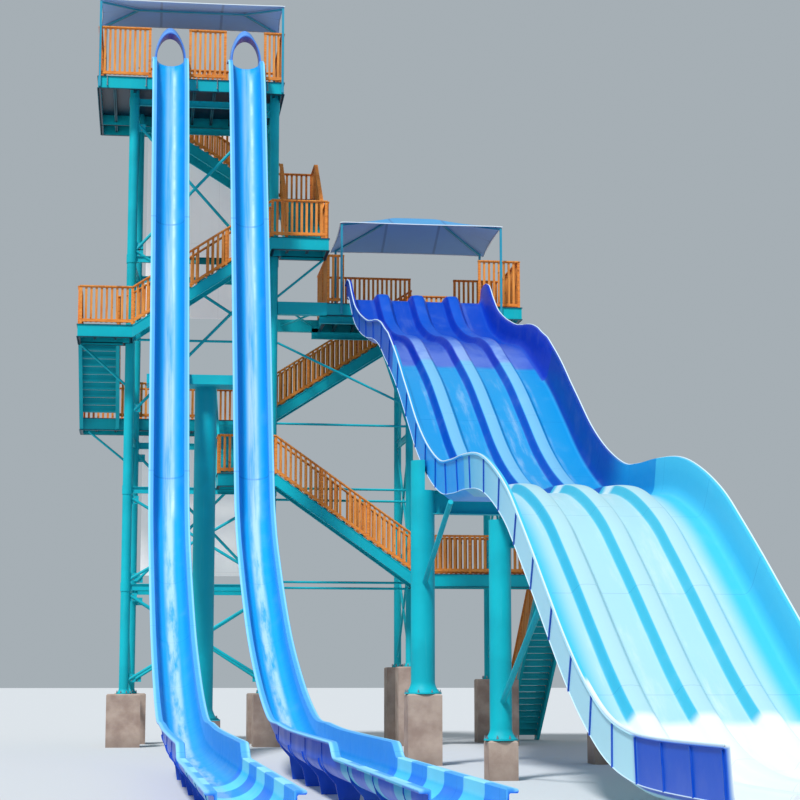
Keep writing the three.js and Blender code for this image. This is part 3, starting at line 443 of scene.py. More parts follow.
def speed_finish(part):
    """Speed slide: azure trough with painted shade on its steep sides, paler flanges that are painted light
    with a painted highlight along their edge, royal outside, and a soft pale run of water whose pale colour
    is a painted reflection.
    """
    finish, lay, across, along, inside = gel_coat(f"speed_{part}_gel_coat")
    away = abs(across)
    # painted shade: the trough's steep sides are painted darker than its floor
    trough, painted_shade_bank = (14, 160, 228), (8, 142, 218)
    # painted light: the flanges face up and are painted paler, and lip is a painted highlight along their
    # outer edge
    flange, lip, outside = (76, 168, 240), (134, 210, 250), (8, 90, 220)
    if part == "runout":
        panel = (finish.maths("PINGPONG", along - CATCH_END, 1.25) / 1.25) > 0.5
        trough = finish.blend(panel, (16, 150, 240), (96, 216, 240))
        painted_shade_bank = finish.blend(panel, (8, 126, 230), (70, 200, 232))
        flange = finish.blend(panel, (76, 168, 240), (150, 228, 244))
        outside = finish.blend(panel, (8, 96, 222), (60, 190, 230))
    trough = finish.blend(finish.smooth(away, 0.2, 0.33), trough, painted_shade_bank)
    at_flange = finish.smooth(away, FLUME_INNER - 0.012, FLUME_INNER + 0.004)
    at_lip = finish.smooth(away, 0.43, 0.47)
    inner = finish.blend(at_flange, trough, finish.blend(at_lip, flange, lip))
    colour = finish.blend(inside, outside, inner)
    stretched = finish.node("Mapping", Vector=lay, Scale=(3, 0.35, 1)).outputs["Vector"]
    drops = finish.noise(2.2, detail=7, rough=0.66, vector=stretched)
    middle = finish.smooth(away, 0.05, 0.17, 1, 0) * inside
    wet = finish.smooth(drops, 0.3, 0.62) * middle
    strength = finish.smooth(along, 0.6, 4.5, 0.45, 1) * (0.4 if part == "runout" else 0.8)
    # painted reflection: the run of water is painted pale; its gloss and ripples in finish_gel are real
    colour = finish.blend(wet * strength, colour, (190, 222, 248))
    return finish_gel(finish, colour, lay, along, FLUME_JOINT, wet)


def racer_finish(part):
    """Racer: royal at the top, azure on the drop, pale and then white towards its end, with painted light on
    each divider's top, painted shade on its left side, a painted lavender sheen and painted reflection in
    its water.
    """
    finish, lay, across, along, inside = gel_coat(f"racer_{part}_gel_coat")
    side = finish.maths("FLOORED_MODULO", across + LANE_PITCH / 2, LANE_PITCH) - LANE_PITCH / 2
    off, left = abs(side), side * -1
    between = finish.smooth(abs(across), LANES_HALF, LANES_HALF + 0.06, 1, 0) * inside
    ridge = finish.smooth(off, DIVIDER_TOP - 0.015, DIVIDER_TOP + 0.01, 1, 0) * between
    # painted shade: only the left side of each divider is painted darker
    painted_shade_flank = (finish.smooth(left, DIVIDER_TOP, DIVIDER_TOP + 0.02)
             * finish.smooth(left, DIVIDER_FOOT, DIVIDER_EDGE, 1, 0) * between)
    right_wall = finish.smooth(across, 1.76, 1.82) * inside
    left_wall = finish.smooth(across * -1, 1.8, 1.86)
    # per part: floor colour, the painted light on each divider's top, the painted shade on its left side,
    # and the outside
    base, painted_light_tops, flanks, outer = {
        "top": ((4, 68, 182), (10, 82, 196), (0, 44, 166), (8, 84, 196)),
        "middle": ((8, 142, 207), (112, 180, 220), (0, 62, 172), (30, 158, 240)),
        "lower": ((160, 206, 218), (166, 208, 218), (30, 172, 204), (132, 216, 240)),
    }[part]
    colour = finish.blend(ridge * 0.9, base, painted_light_tops)
    colour = finish.blend(painted_shade_flank * 0.9, colour, flanks)
    if part == "top":
        floor = finish.smooth(abs(across), FLOOR_HALF, FLOOR_HALF + 0.06, 1, 0) * inside
        # painted sheen: a pale lavender reflection painted on the lanes and on each divider's top before the
        # change to azure
        sheen = finish.smooth(along, 4.8, 6.6) * finish.smooth(finish.noise(1.3, detail=4), 0.2, 0.6)
        colour = finish.blend(sheen * floor * (1 - painted_shade_flank) * 0.45, colour, (112, 140, 212))
        colour = finish.blend(sheen * ridge * 0.6, colour, (150, 186, 232))
        azure = finish.smooth(along + finish.noise(1.4, detail=3) * 0.3, 7.1, 7.35) * floor
        # the azure lanes repeat the painted light on each divider's top and the painted shade on its left
        # side
        lanes = finish.blend(ridge * 0.9, (8, 142, 207), (112, 180, 220))
        lanes = finish.blend(painted_shade_flank * 0.9, lanes, (0, 62, 172))
        colour = finish.blend(azure, colour, lanes)
        colour = finish.blend(finish.maths("MAXIMUM", right_wall, left_wall) * 0.9, colour, (0, 46, 176))
    if part == "middle":
        colour = finish.blend(right_wall * finish.smooth(along, 12.6, 14.6, 1, 0), colour, (0, 58, 156))
    if part == "lower":
        edge = finish.noise(1.8, detail=4) * 0.5
        foam = finish.smooth(abs(along - 16.75 - edge), 0.1, 0.42, 1, 0) * between
        colour = finish.blend(foam * 0.7, colour, (226, 236, 240))
        rim = finish.smooth(abs(across), 1.28, 1.62) * inside
        colour = finish.blend(rim * 0.9, colour, (36, 184, 226))
        white = finish.smooth(along + edge * 0.3, 25.1, 25.4) * inside
        colour = finish.blend(white * 0.95, colour, (228, 234, 238))
    shade = outer
    if part == "lower":
        shade = finish.blend(finish.smooth(along, 15.5, 22), (84, 184, 226), (186, 238, 250))
        shade = finish.blend(left_wall * finish.smooth(along, 27.8, 28.2), shade, (16, 84, 204))
    colour = finish.blend(inside, shade, colour)
    stretched = finish.node("Mapping", Vector=lay, Scale=(2.6, 0.4, 1)).outputs["Vector"]
    drops = finish.noise(1.5, detail=8, rough=0.68, vector=stretched)
    wet = finish.smooth(drops, 0.46, 0.74) * finish.smooth(off, 0.2, 0.32) * between
    # painted reflection: pale streaks of water painted on the lanes; their gloss and ripples are real
    colour = finish.blend(wet * {"top": 0.1, "middle": 0.3, "lower": 0.5}[part], colour,
                          (206, 226, 236))
    return finish_gel(finish, colour, lay, along, RACER_JOINT * 2, wet)


def cloth_finish():
    """Shade cloth: bright above and grey-blue below, painted light and shade by which way a face turns, with
    a fine weave, seams and a dark hem.

    The stored vector weave holds the place across, the place along and the distance to a seam.
    """
    finish = Finish("shade_cloth", roughness=0.85)
    finish.set("Sheen Weight", 0.3)
    weave = finish.stored("weave")
    seam = finish.smooth(finish.axis(weave, 2), 0.02, 0.05, 1, 0)
    # painted light and shade: faces that turn down are painted paler than faces that turn up
    up = finish.smooth(finish.facing(), -0.2, 0.2)
    cloud = finish.noise(1.3, detail=4)
    above = finish.blend(cloud, (34, 136, 196), (46, 148, 206))
    below = finish.blend(cloud, (118, 172, 236), (130, 186, 244))
    colour = finish.blend(seam * 0.4, finish.blend(up, below, above), (34, 62, 130))
    finish.set("Base Color", colour)
    warp = finish.maths("SINE", finish.axis(weave, 0) * 420)
    weft = finish.maths("SINE", finish.axis(weave, 1) * 420)
    finish.set("Roughness", finish.smooth(cloud, 0.2, 0.8, 0.75, 0.95))
    finish.bump(warp * weft * 0.5 + seam, 0.25, 0.003)
    return finish.material


def sheet_finish():
    """Coated flat sheet: pale cream grey with faint joints, rain streaks and oil-canning, and a faint
    painted glow of light.
    """
    finish = Finish("screen_sheet", roughness=0.6)
    # painted light: the sheet glows a pale grey of its own though it is no lamp
    finish.set("Emission Color", (196, 194, 196))
    finish.set("Emission Strength", 0.5)
    streak = finish.noise(7, stretch=(1, 1, 0.05), detail=6)
    cloud = finish.noise(0.7, detail=3)
    here = finish.place()
    joint = finish.maths("MAXIMUM", finish.near_multiple(finish.axis(here, 0) - 0.38, 1.074, 0.006),
                         finish.near_multiple(finish.axis(here, 2), 2.44, 0.006))
    colour = finish.blend(finish.smooth(cloud, 0.3, 0.7), (206, 203, 206), (220, 217, 214))
    colour = finish.blend(finish.smooth(streak, 0.55, 0.85, 0, 0.22), colour, (176, 170, 170))
    colour = finish.blend(joint * 0.35, colour, (150, 148, 152))
    finish.set("Base Color", colour)
    finish.set("Roughness", finish.smooth(streak, 0.2, 0.8, 0.5, 0.7))
    finish.bump(cloud - joint * 0.2, 0.15, 0.01)
    return finish.material


def bolt_finish():
    """Galvanised fasteners, dull and slightly stained."""
    finish = Finish("galvanised_steel", roughness=0.45, metallic=0.8)
    mottle = finish.noise(60, detail=4)
    finish.set("Base Color", finish.blend(mottle, (120, 126, 130), (186, 190, 194)))
    finish.set("Roughness", finish.smooth(mottle, 0.3, 0.7, 0.35, 0.6))
    finish.bump(mottle, 0.2, 0.002)
    return finish.material


def put(name, data):
    """A new object in the scene for a mesh, a lamp or a camera."""
    made = bpy.data.objects.new(name, data)
    bpy.context.scene.collection.objects.link(made)
    return made


def circle(sides):
    """Points of a circle of radius 1, anticlockwise from the right."""
    angle = np.arange(sides) * 2 * math.pi / sides
    return np.stack([np.cos(angle), np.sin(angle)], -1)


def as_points(*values):
    """Each value as rows of X, Y and Z."""
    return [np.asarray(value, float).reshape(-1, 3) for value in values]


def grid_faces(rows, columns, around=False):
    """Quads of a grid of points, row by row, closed around the columns if asked."""
    row = np.arange(rows - 1)[:, None] * columns
    column = np.arange(columns if around else columns - 1)[None, :]
    beside = (column + 1) % columns
    quads = [row + column, row + beside, row + beside + columns, row + column + columns]
    return np.stack(quads, -1).reshape(-1, 4)


def tube_faces(rows, columns):
    """Faces of a tube through rings of points, with one face at each end."""
    ring = np.arange(columns)
    return [grid_faces(rows, columns, True), np.array([ring[::-1], ring + (rows - 1) * columns])]


def band_faces(rows, columns):
    """Faces of a tube whose rings are an outer run and an inner run back: its ends are ribbons."""
    run = np.arange(columns // 2 - 1)
    near = np.stack([run + 1, run, columns - 1 - run, columns - 2 - run], -1)
    return [grid_faces(rows, columns, True), near, near[:, ::-1] + (rows - 1) * columns]


def make_piece(name, points, faces, finish, sharp=35, stored=None):
    """Puts points and lists of faces into a mesh piece on the part's one body."""
    mesh = bpy.data.meshes.new(name)
    listed = [face for block in faces for face in np.asarray(block).tolist()]
    mesh.from_pydata(as_points(points)[0].tolist(), [], listed)
    for key, values in (stored or {}).items():
        layer = mesh.attributes.new(key, "FLOAT_VECTOR", "POINT")
        layer.data.foreach_set("vector", np.asarray(values, np.float32).ravel())
    mesh.shade_smooth()
    mesh.set_sharp_from_angle(angle=math.radians(sharp))
    mesh.materials.append(finish)
    mesh.update()
    made = put(name, mesh)
    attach(made, "root")
    return made


class Kit:
    """Many small solids that become one piece."""

    def __init__(self):
        self.points = []
        self.faces = []
        self.count = 0

    def add(self, points, *faces):
        """Adds points and blocks of faces, whose numbers count from the first of these points."""
        points, = as_points(points)
        self.faces.extend(block + self.count for block in faces)
        self.points.append(points)
        self.count += len(points)

    def sweep(self, rings, faces, turn=1):
        """A tube or a band through rings of points, with its faces turned over if turn is -1."""
        self.add(rings, *(block[:, ::turn] for block in faces(*rings.shape[:2])))

    def prisms(self, outline, starts, ends, up=(0, 0, 1)):
        """Prisms of one convex outline (side, top) between pairs of points.

        A corner lies at end + side * (up x along) + top * (along x (up x along)).
        """
        starts, ends = as_points(starts, ends)
        along = ends - starts
        along /= np.linalg.norm(along, axis=1, keepdims=True)
        side = np.cross(np.asarray(up, float), along)
        weak = np.linalg.norm(side, axis=1) < 0.05
        side[weak] = np.cross([0.0, 1.0, 0.0], along[weak])
        side /= np.linalg.norm(side, axis=1, keepdims=True)
        top = np.cross(along, side)
        outline = np.asarray(outline, float)
        spread = outline[None, :, :1] * side[:, None] + outline[None, :, 1:] * top[:, None]
        points = np.concatenate([starts[:, None] + spread, ends[:, None] + spread], 1)
        sides = len(outline)
        near = np.arange(sides)
        nxt = (near + 1) % sides
        wall = np.stack([near, nxt, nxt + sides, near + sides], -1)
        base = (np.arange(len(starts)) * 2 * sides)[:, None, None]
        caps = np.stack([near[::-1], near + sides])
        self.add(points, (base + wall).reshape(-1, 4), (base + caps).reshape(-1, sides))

    def bars(self, starts, ends, wide, deep, up=(0, 0, 1)):
        """Bars of a rectangular section between pairs of points."""
        w, d = wide / 2, deep / 2
        self.prisms([(-w, -d), (-w, d), (w, d), (w, -d)], starts, ends, up)

    def rods(self, starts, ends, radius, sides=10):
        """Round rods between pairs of points."""
        self.prisms(circle(sides) * radius, starts, ends)

    def slabs(self, lows, highs):
        """Upright boxes from their lowest to their highest corners."""
        lows, highs = as_points(lows, highs)
        corner = np.array([(i & 1, i >> 1 & 1, i >> 2) for i in range(8)])
        points = lows[:, None] + (highs - lows)[:, None] * corner[None]
        quads = np.array([
            (0, 2, 3, 1), (4, 5, 7, 6), (0, 1, 5, 4), (2, 6, 7, 3), (0, 4, 6, 2), (1, 3, 7, 5),
        ])
        base = (np.arange(len(lows)) * 8)[:, None, None]
        self.add(points, (base + quads).reshape(-1, 4))

    def turned(self, x, y, profile, sides=32):
        """A profile of (radius, level) from bottom to top, turned about an upright axis."""
        profile = np.asarray(profile, float)
        flat = profile[:, :1, None] * circle(sides) + np.array([x, y])
        level = np.broadcast_to(profile[:, 1:, None], (*flat.shape[:2], 1))
        self.sweep(np.concatenate([flat, level], -1), tube_faces)

    def make(self, name, finish, slot, sharp=35):
        """Makes one piece of all that was added."""
        return make_piece(name, np.concatenate(self.points), self.faces, finish, sharp)


def ride_line(profile, start, end, step=0.1):
    """Places along a profile: distance, level and unit direction as arrays.

    The curve is a Catmull-Rom spline: each span blends its end points with half the chord of
    their neighbours as slopes. The first span is straight, and its direction eases from level.
    """
    knots = np.array(profile, float)
    before, after = knots[np.r_[0, 0:len(knots) - 1]], knots[np.r_[1:len(knots), len(knots) - 1]]
    slopes = (after - before) / 2
    t = np.linspace(0, 1, 40, endpoint=False)[None, :, None]
    p, q, m, n = knots[:-1, None], knots[1:, None], slopes[:-1, None], slopes[1:, None]
    curve = ((2 * t**3 - 3 * t**2 + 1) * p + (t**3 - 2 * t**2 + t) * m
             + (3 * t**2 - 2 * t**3) * q + (t**3 - t**2) * n)
    curve[0] = knots[0] + (knots[1] - knots[0]) * t[0]
    curve = np.concatenate([curve.reshape(-1, 2), knots[-1:]])
    length = np.r_[0, np.cumsum(np.linalg.norm(np.diff(curve, axis=0), axis=1))]
    reach = np.interp([start, end], curve[:, 0], length)
    spots = np.linspace(*reach, int((reach[1] - reach[0]) / step) + 2)
    s = np.interp(spots, length, curve[:, 0])
    level = np.interp(s, curve[:, 0], curve[:, 1])
    ahead, behind = np.minimum(spots + 0.06, length[-1]), np.maximum(spots - 0.06, 0)
    run = [np.interp(ahead, length, curve[:, i]) - np.interp(behind, length, curve[:, i]) for i in (0, 1)]
    pitch = np.arctan2(run[1], run[0])
    first = knots[1][0]
    pitch = np.where(s < first, pitch * s / first, pitch)
    return s, level, np.cos(pitch), np.sin(pitch)


def carry(line, section, place):
    """Carries sections (across, up) along a ride line in the plane that runs to -Y.

    A point lies at across to the side, up square to the line, and the whole is turned about Z.
    The place is the line's X and Y at its start, and the turn.
    """
    centre, start, turn = place
    s, level, forward, rise = (v[:, None] for v in line)
    across, up = section[..., 0], section[..., 1]
    x = np.broadcast_to(across, (len(s), section.shape[-2]))
    y = rise * up - s
    z = level + forward * up
    return np.stack([x * math.cos(turn) - y * math.sin(turn) + centre,
                     x * math.sin(turn) + y * math.cos(turn) + start, z + 0 * x], -1)


def soften(outline, reach):
    """Cuts each corner of a closed outline back by a reach along both its edges."""
    outline = np.asarray(outline, float)
    before, after = np.roll(outline, 1, axis=-2) - outline, np.roll(outline, -1, axis=-2) - outline
    lengths = [np.linalg.norm(v, axis=-1, keepdims=True) for v in (before, after)]
    ends = [outline + v / l * np.minimum(reach, l / 3) for v, l in zip((before, after), lengths)]
    stacked = np.stack(ends, axis=-2)
    return stacked.reshape(*outline.shape[:-2], -1, 2)


def shell(name, line, section, inside, place, finish):
    """A closed skin along a ride line, from a section whose points are marked inside or not.

    It stores the vector lay, which the gel coat reads.
    """
    points = carry(line, section, place)
    size = points.shape[:2]
    lay = [np.broadcast_to(part, size) for part in (section[..., 0], line[0][:, None], inside)]
    return make_piece(name, points, tube_faces(*size), finish, 40, {"lay": np.stack(lay, -1)})


def flume_reach(rim):
    """Half the depth of the flume's round bottom under a rim."""
    return np.minimum(rim * 0.8, FLUME_INNER * 0.7)


def flume_section(rim):
    """Round flume for an array of rim heights: inner arc, flanges and outer arc.

    An arc is wide * cos(a) across and reach + deep * sin(a) up, from a = pi to 2 pi.
    Returned anticlockwise, from the left flange's outer edge round under the trough.
    """
    rim = np.asarray(rim, float)[:, None]
    reach = flume_reach(rim)
    angle = np.linspace(math.pi, 2 * math.pi, 27)[None]
    outer = FLUME_INNER + FLUME_WALL
    one = np.ones_like(rim)
    low = rim - 0.045

    def column(*pairs):
        return [np.stack([across * one, up], -1) for across, up in pairs]

    under = np.stack([outer * np.cos(angle) * one, reach + (reach + FLUME_WALL) * np.sin(angle)], -1)
    trough = np.stack([FLUME_INNER * np.cos(angle) * one, reach + reach * np.sin(angle)], -1)
    parts = [
        *column((-FLUME_HALF, rim), (-FLUME_HALF, low), (-outer, low)), under,
        *column((outer, low), (FLUME_HALF, low), (FLUME_HALF, rim), (FLUME_INNER, rim)),
        trough[:, ::-1], *column((-FLUME_INNER, rim)),
    ]
    outline = np.concatenate(parts, 1)
    inside = np.zeros(outline.shape[1])
    inside[3 + under.shape[1] + 2:] = 1
    inside[0] = 1
    return soften(outline, 0.012), np.repeat(inside, 2)


def ease(value):
    """Goes from 0 to 1 with level ends: three times the square less twice the cube."""
    value = np.clip(value, 0, 1)
    return 3 * value**2 - 2 * value**3


def rim_height(s):
    """The flume's rim: low at the entry, higher along the catch, then a step down to the run-out."""
    entry = np.clip((s - SPEED_PROFILE[1][0]) / (SPEED_PROFILE[2][0] - SPEED_PROFILE[1][0]), 0, 1)
    high = ENTRY_RIM + (FLUME_RIM - ENTRY_RIM) * entry
    high = high + (CATCH_RIM - FLUME_RIM) * ease((s - CATCH_START) / CATCH_RISE)
    return high + (RUNOUT_RIM - high) * ease((s - CATCH_END) / RUNOUT_STEP)


def speed_slides(finishes):
    """Skins, joint flanges, fins and hoods of both speed slides."""
    spans = {"chute": (0, CATCH_START), "catch": (CATCH_START, CATCH_END), "runout": (CATCH_END, RUNOUT_END)}
    for side, centre in SPEED_CENTRES.items():
        place = (centre, SPEED_START, SPEED_TURN)
        for part, (low, high) in spans.items():
            line = ride_line(SPEED_PROFILE, low, high)
            section, inside = flume_section(rim_height(line[0]))
            skin = shell(f"speed_{side}_{part}_skin", line, section, inside, place,
                         finishes[part])
            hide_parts(f"speed_{side}_{part}")
        flume_collars(side, place, finishes["collar"])
        flume_fins(side, place, finishes["collar"])
        hood(side, place, finishes["hood"])


def flume_collars(side, place, finish):
    """Joint flanges: a band under the flume at each joint, thicker than the wall."""
    kit = Kit()
    angle = np.linspace(math.pi, 2 * math.pi, 20)
    thick = FLUME_WALL + np.array([0.0, COLLAR_DEPTH])[:, None, None]
    for at in np.arange(FLUME_JOINT, CATCH_END, FLUME_JOINT):
        line = ride_line(SPEED_PROFILE, at - 0.03, at + 0.03, 0.06)
        reach = flume_reach(rim_height(line[0]))[:, None]
        outer, inner = np.stack([(FLUME_INNER + thick) * np.cos(angle) + 0 * reach,
                                 reach + (reach + thick) * np.sin(angle)], -1)[::-1]
        kit.sweep(carry(line, np.concatenate([outer, inner[:, ::-1]], 1), place), band_faces)
    kit.make(f"speed_{side}_joint_flanges", finish, "speed_chute")


def flume_fins(side, place, finish):
    """Upright fins under the catch and the run-out: wide below the flange, narrow at the ground."""
    kit = Kit()
    for at in np.r_[np.arange(17.5, CATCH_END, FLUME_JOINT), np.arange(28.0, RUNOUT_END, FLUME_JOINT)]:
        s, level, *_ = ride_line(SPEED_PROFILE, at - 0.015, at + 0.015, 0.03)
        rim = float(rim_height(at)) - 0.05
        right = np.array([(0.14, 0.002 - level[0]), (0.2, -0.1), (0.36, 0.08), (0.412, 0.24), (0.412, rim),
                          (0.388, rim), (0.386, 0.25), (0.376, 0.2), (0.318, 0.1), (0.24, 0.035),
                          (0.16, -0.012)])
        outline = np.concatenate([right, (right * (-1, 1))[::-1]])
        kit.sweep(carry((s, level, 1 + 0 * s, 0 * s), outline[None], place), tube_faces)
    kit.make(f"speed_{side}_fins", finish, "speed_catch")


def hood(side, place, finish):
    """The hood over a slide's start: an arch over the flanges, its crown falling to the front.

    The outer arch is half * cos(a) across and crown * sin(a) up, with a pointed lift of its
    middle; the inner arch is a plain one. Both stand on the flume's flanges.
    """
    s = np.linspace(0.02, 0.53, 15)
    t = (s - s[0]) / (s[-1] - s[0])
    line = ride_line(SPEED_PROFILE, 0, 1.0, 0.02)
    base = np.interp(s, line[0], line[1] + rim_height(line[0]) * line[2]) - 0.01
    over = (SPEED_PROFILE[0][1] + ENTRY_RIM - base)[:, None]
    crown = over + HOOD_CROWN - HOOD_FALL * t[:, None] ** 1.15
    angle = np.linspace(0, math.pi, 33)
    arch = np.sin(angle)
    outer = np.stack([HOOD_HALF * np.cos(angle) + 0 * over, crown * (arch + 0.08 * arch**6) / 1.08], -1)
    inner = np.stack([FLUME_INNER * np.cos(angle) + 0 * over, (over + HOOD_CLEAR) * arch], -1)
    section = np.concatenate([outer, inner[:, ::-1]], 1)
    points = carry((s, base, 1 + 0 * s, 0 * s), section, place)
    rows, columns = points.shape[:2]
    # marks the arch's inside, which the hood's finish paints darker as painted shade
    within = np.broadcast_to(np.arange(columns)[:, None] >= len(angle), points.shape) * (0, 0, 1)
    piece = make_piece(f"speed_{side}_hood_skin", points, band_faces(rows, columns), finish,
                       40, {"lay": within})
    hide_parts(f"speed_{side}_hood")


def racer_floor(x):
    """Height of the racer's inner floor at a distance from its middle line.

    Each divider is a ridge with eased flanks and a top that is rounded by a cosine. The lanes
    between them, and what lies beyond the outer dividers, are flat.
    """
    off = np.abs((np.abs(x) + LANE_PITCH / 2) % LANE_PITCH - LANE_PITCH / 2)
    ridge = DIVIDER_HIGH * ease((DIVIDER_EDGE - off) / (DIVIDER_EDGE - DIVIDER_TOP))
    crown = DIVIDER_CROWN * np.cos(np.clip(off / DIVIDER_TOP, 0, 1) * math.pi / 2)
    return (ridge + crown) * (np.abs(x) < LANES_HALF)


def racer_section():
    """The racer's closed section, anticlockwise from under its left edge."""
    floor_end = RACER_HALF - 0.19
    x = np.linspace(floor_end, -floor_end, 151)
    floor = np.stack([x, racer_floor(x)], -1)
    bend = np.linspace(0, math.pi / 2, 10)[1:]
    wall = np.stack([floor_end + 0.13 * np.sin(bend), 0.26 * (1 - np.cos(bend))], -1)
    up = np.array([(RACER_HALF - 0.045, 0.45), (RACER_HALF - 0.03, RACER_WALL - 0.02)])
    lip = np.array([(RACER_HALF - 0.02, RACER_WALL), (RACER_HALF + 0.05, RACER_WALL),
                    (RACER_HALF + 0.06, RACER_WALL - 0.03), (RACER_HALF + 0.03, RACER_WALL - 0.045)])
    outside = np.array([(RACER_HALF + 0.015, 0.4), (RACER_HALF, RACER_SHELL)])
    right_inner = np.concatenate([wall, up, lip[:2]])
    right_outer = np.concatenate([lip[2:], outside])
    under = np.array([(floor_end, -RACER_SHELL)])
    mirror = np.array([-1, 1])
    outline = np.concatenate([
        under * mirror, under, right_outer[::-1], right_inner[::-1], floor,
        right_inner * mirror, right_outer * mirror,
    ])
    inside = np.concatenate([
        np.zeros(2 + len(right_outer)), np.ones(len(right_inner) + len(floor) + len(right_inner)),
        np.zeros(len(right_outer)),
    ])
    return outline, inside


def wall_drop(s):
    """How much lower the racer's walls are along its first shelf than further down."""
    return RACER_WALL - np.interp(s, *zip(*RACER_WALLS))


def racer_slide(finishes):
    """Skins of the racer's three parts, with their ribs and rims."""
    section, inside = racer_section()
    for part, (low, high) in RACER_SPLITS.items():
        line = ride_line(RACER_PROFILE, low, high, 0.11)
        drop = wall_drop(line[0])[:, None, None] * (section[None, :, 1:] > 0.6) * (0, 1)
        skin = shell(f"racer_{part}_skin", line, section[None] - drop, inside, RACER_PLACE,
                     finishes[part])
        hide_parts(f"racer_bed_{part}")
    racer_ribs(finishes["rib"])
    racer_rim(finishes["rim"])


def racer_ribs(finish):
    """Thin stiffening ribs round the outside of both walls."""
    inner = np.array([(RACER_HALF + 0.03, RACER_WALL - 0.05), (RACER_HALF + 0.015, 0.4),
                      (RACER_HALF - 0.002, RACER_SHELL)])
    kit = Kit()
    for at in np.arange(RACER_JOINT, RACER_END, RACER_JOINT):
        line = ride_line(RACER_PROFILE, at - 0.015, at + 0.015, 0.03)
        wall = inner - [(0, float(wall_drop(at))), (0, 0), (0, 0)]
        for sign in (1, -1):
            loop = np.concatenate([wall + (RIB_DEPTH, 0), wall[::-1]]) * (sign, 1)
            kit.sweep(carry(line, loop[None], RACER_PLACE), band_faces, -sign)
    kit.make("racer_ribs", finish, "racer_middle", 30)


def racer_rim(finish):
    """A pale bead along the top and a finer one along the lower edge of both walls."""
    line = ride_line(RACER_PROFILE, 0, RACER_END, 0.15)
    drop = wall_drop(line[0])[:, None, None] * (0, 1)
    kit = Kit()
    for radius, across, up, lower in ((0.015, RACER_HALF + 0.04, RACER_WALL, drop),
                                      (0.008, RACER_HALF + 0.002, RACER_SHELL, 0 * drop)):
        for sign in (1, -1):
            section = circle(10) * radius + (sign * across, up) - lower
            kit.sweep(carry(line, section, RACER_PLACE), tube_faces)
    kit.make("racer_rim_bead", finish, "racer_lower", 60)


def stand_column(kits, x, y, radius, top, wide, foot):
    """A round column on its plinth: flared foot, base plate, and anchor bolts with nuts."""
    steel, concrete, bolts = kits
    plate = foot + PLATE
    curve = [(radius * (1 + 0.4 * (1 - v) ** 2), plate + radius * 0.9 * v) for v in np.linspace(0, 1, 8)]
    steel.turned(x, y, [*curve, (radius, top)], 36)
    steel.turned(x, y, [(radius * 1.55, foot), (radius * 1.55, plate)], 36)
    angle = np.arange(8) * math.pi / 4 + math.pi / 8
    spots = np.stack([x + radius * 1.47 * np.cos(angle), y + radius * 1.47 * np.sin(angle),
                      0 * angle + plate], -1)
    bolts.rods(spots, spots + (0, 0, 0.03), 0.02, 6)
    bolts.rods(spots, spots + (0, 0, 0.06), 0.011, 8)
    plinth(concrete, x, y, wide, foot)


def plinth(concrete, x, y, wide, top):
    """A concrete plinth with a splayed edge round its top."""
    rings = [(wide / 2, 0.0), (wide / 2, top - 0.03), (wide / 2 - 0.03, top)]
    corners = [(-1, -1), (1, -1), (1, 1), (-1, 1)]
    points = [[(x + cx * half, y + cy * half, z) for cx, cy in corners] for half, z in rings]
    concrete.sweep(np.array(points), tube_faces)


def make_frame(name, paints, kits, stands_for=None, words=("steel", "plinths", "bolts")):
    """Makes a frame's kits into pieces. The first one may stand for a node of the model."""
    looks = zip(kits, words, paints)
    pieces = [kit.make(f"{name}_{word}", look, "frame_steel") for kit, word, look in looks]
    if stands_for:
        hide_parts(stands_for)


def channel(steel, starts, ends, deep, wide):
    """Steel beams of I section: a web between two flanges, along pairs of points."""
    starts, ends = as_points(starts, ends)
    steel.bars(starts, ends, 0.014, deep)
    for side in (1, -1):
        lift = np.array([0, 0, side * (deep / 2 - 0.008)])
        steel.bars(starts + lift, ends + lift, wide, 0.016)


def gussets(steel, bolts, spots, size, across):
    """Square plates where braces meet a column, each with a pair of bolts."""
    spots, across = as_points(spots, across)
    steel.bars(spots - across * 0.008, spots + across * 0.008, size, size)
    for sign in (-1, 1):
        at = spots + np.array([0, 0, sign * size * 0.3])
        bolts.rods(at - across * 0.02, at + across * 0.02, 0.013, 6)


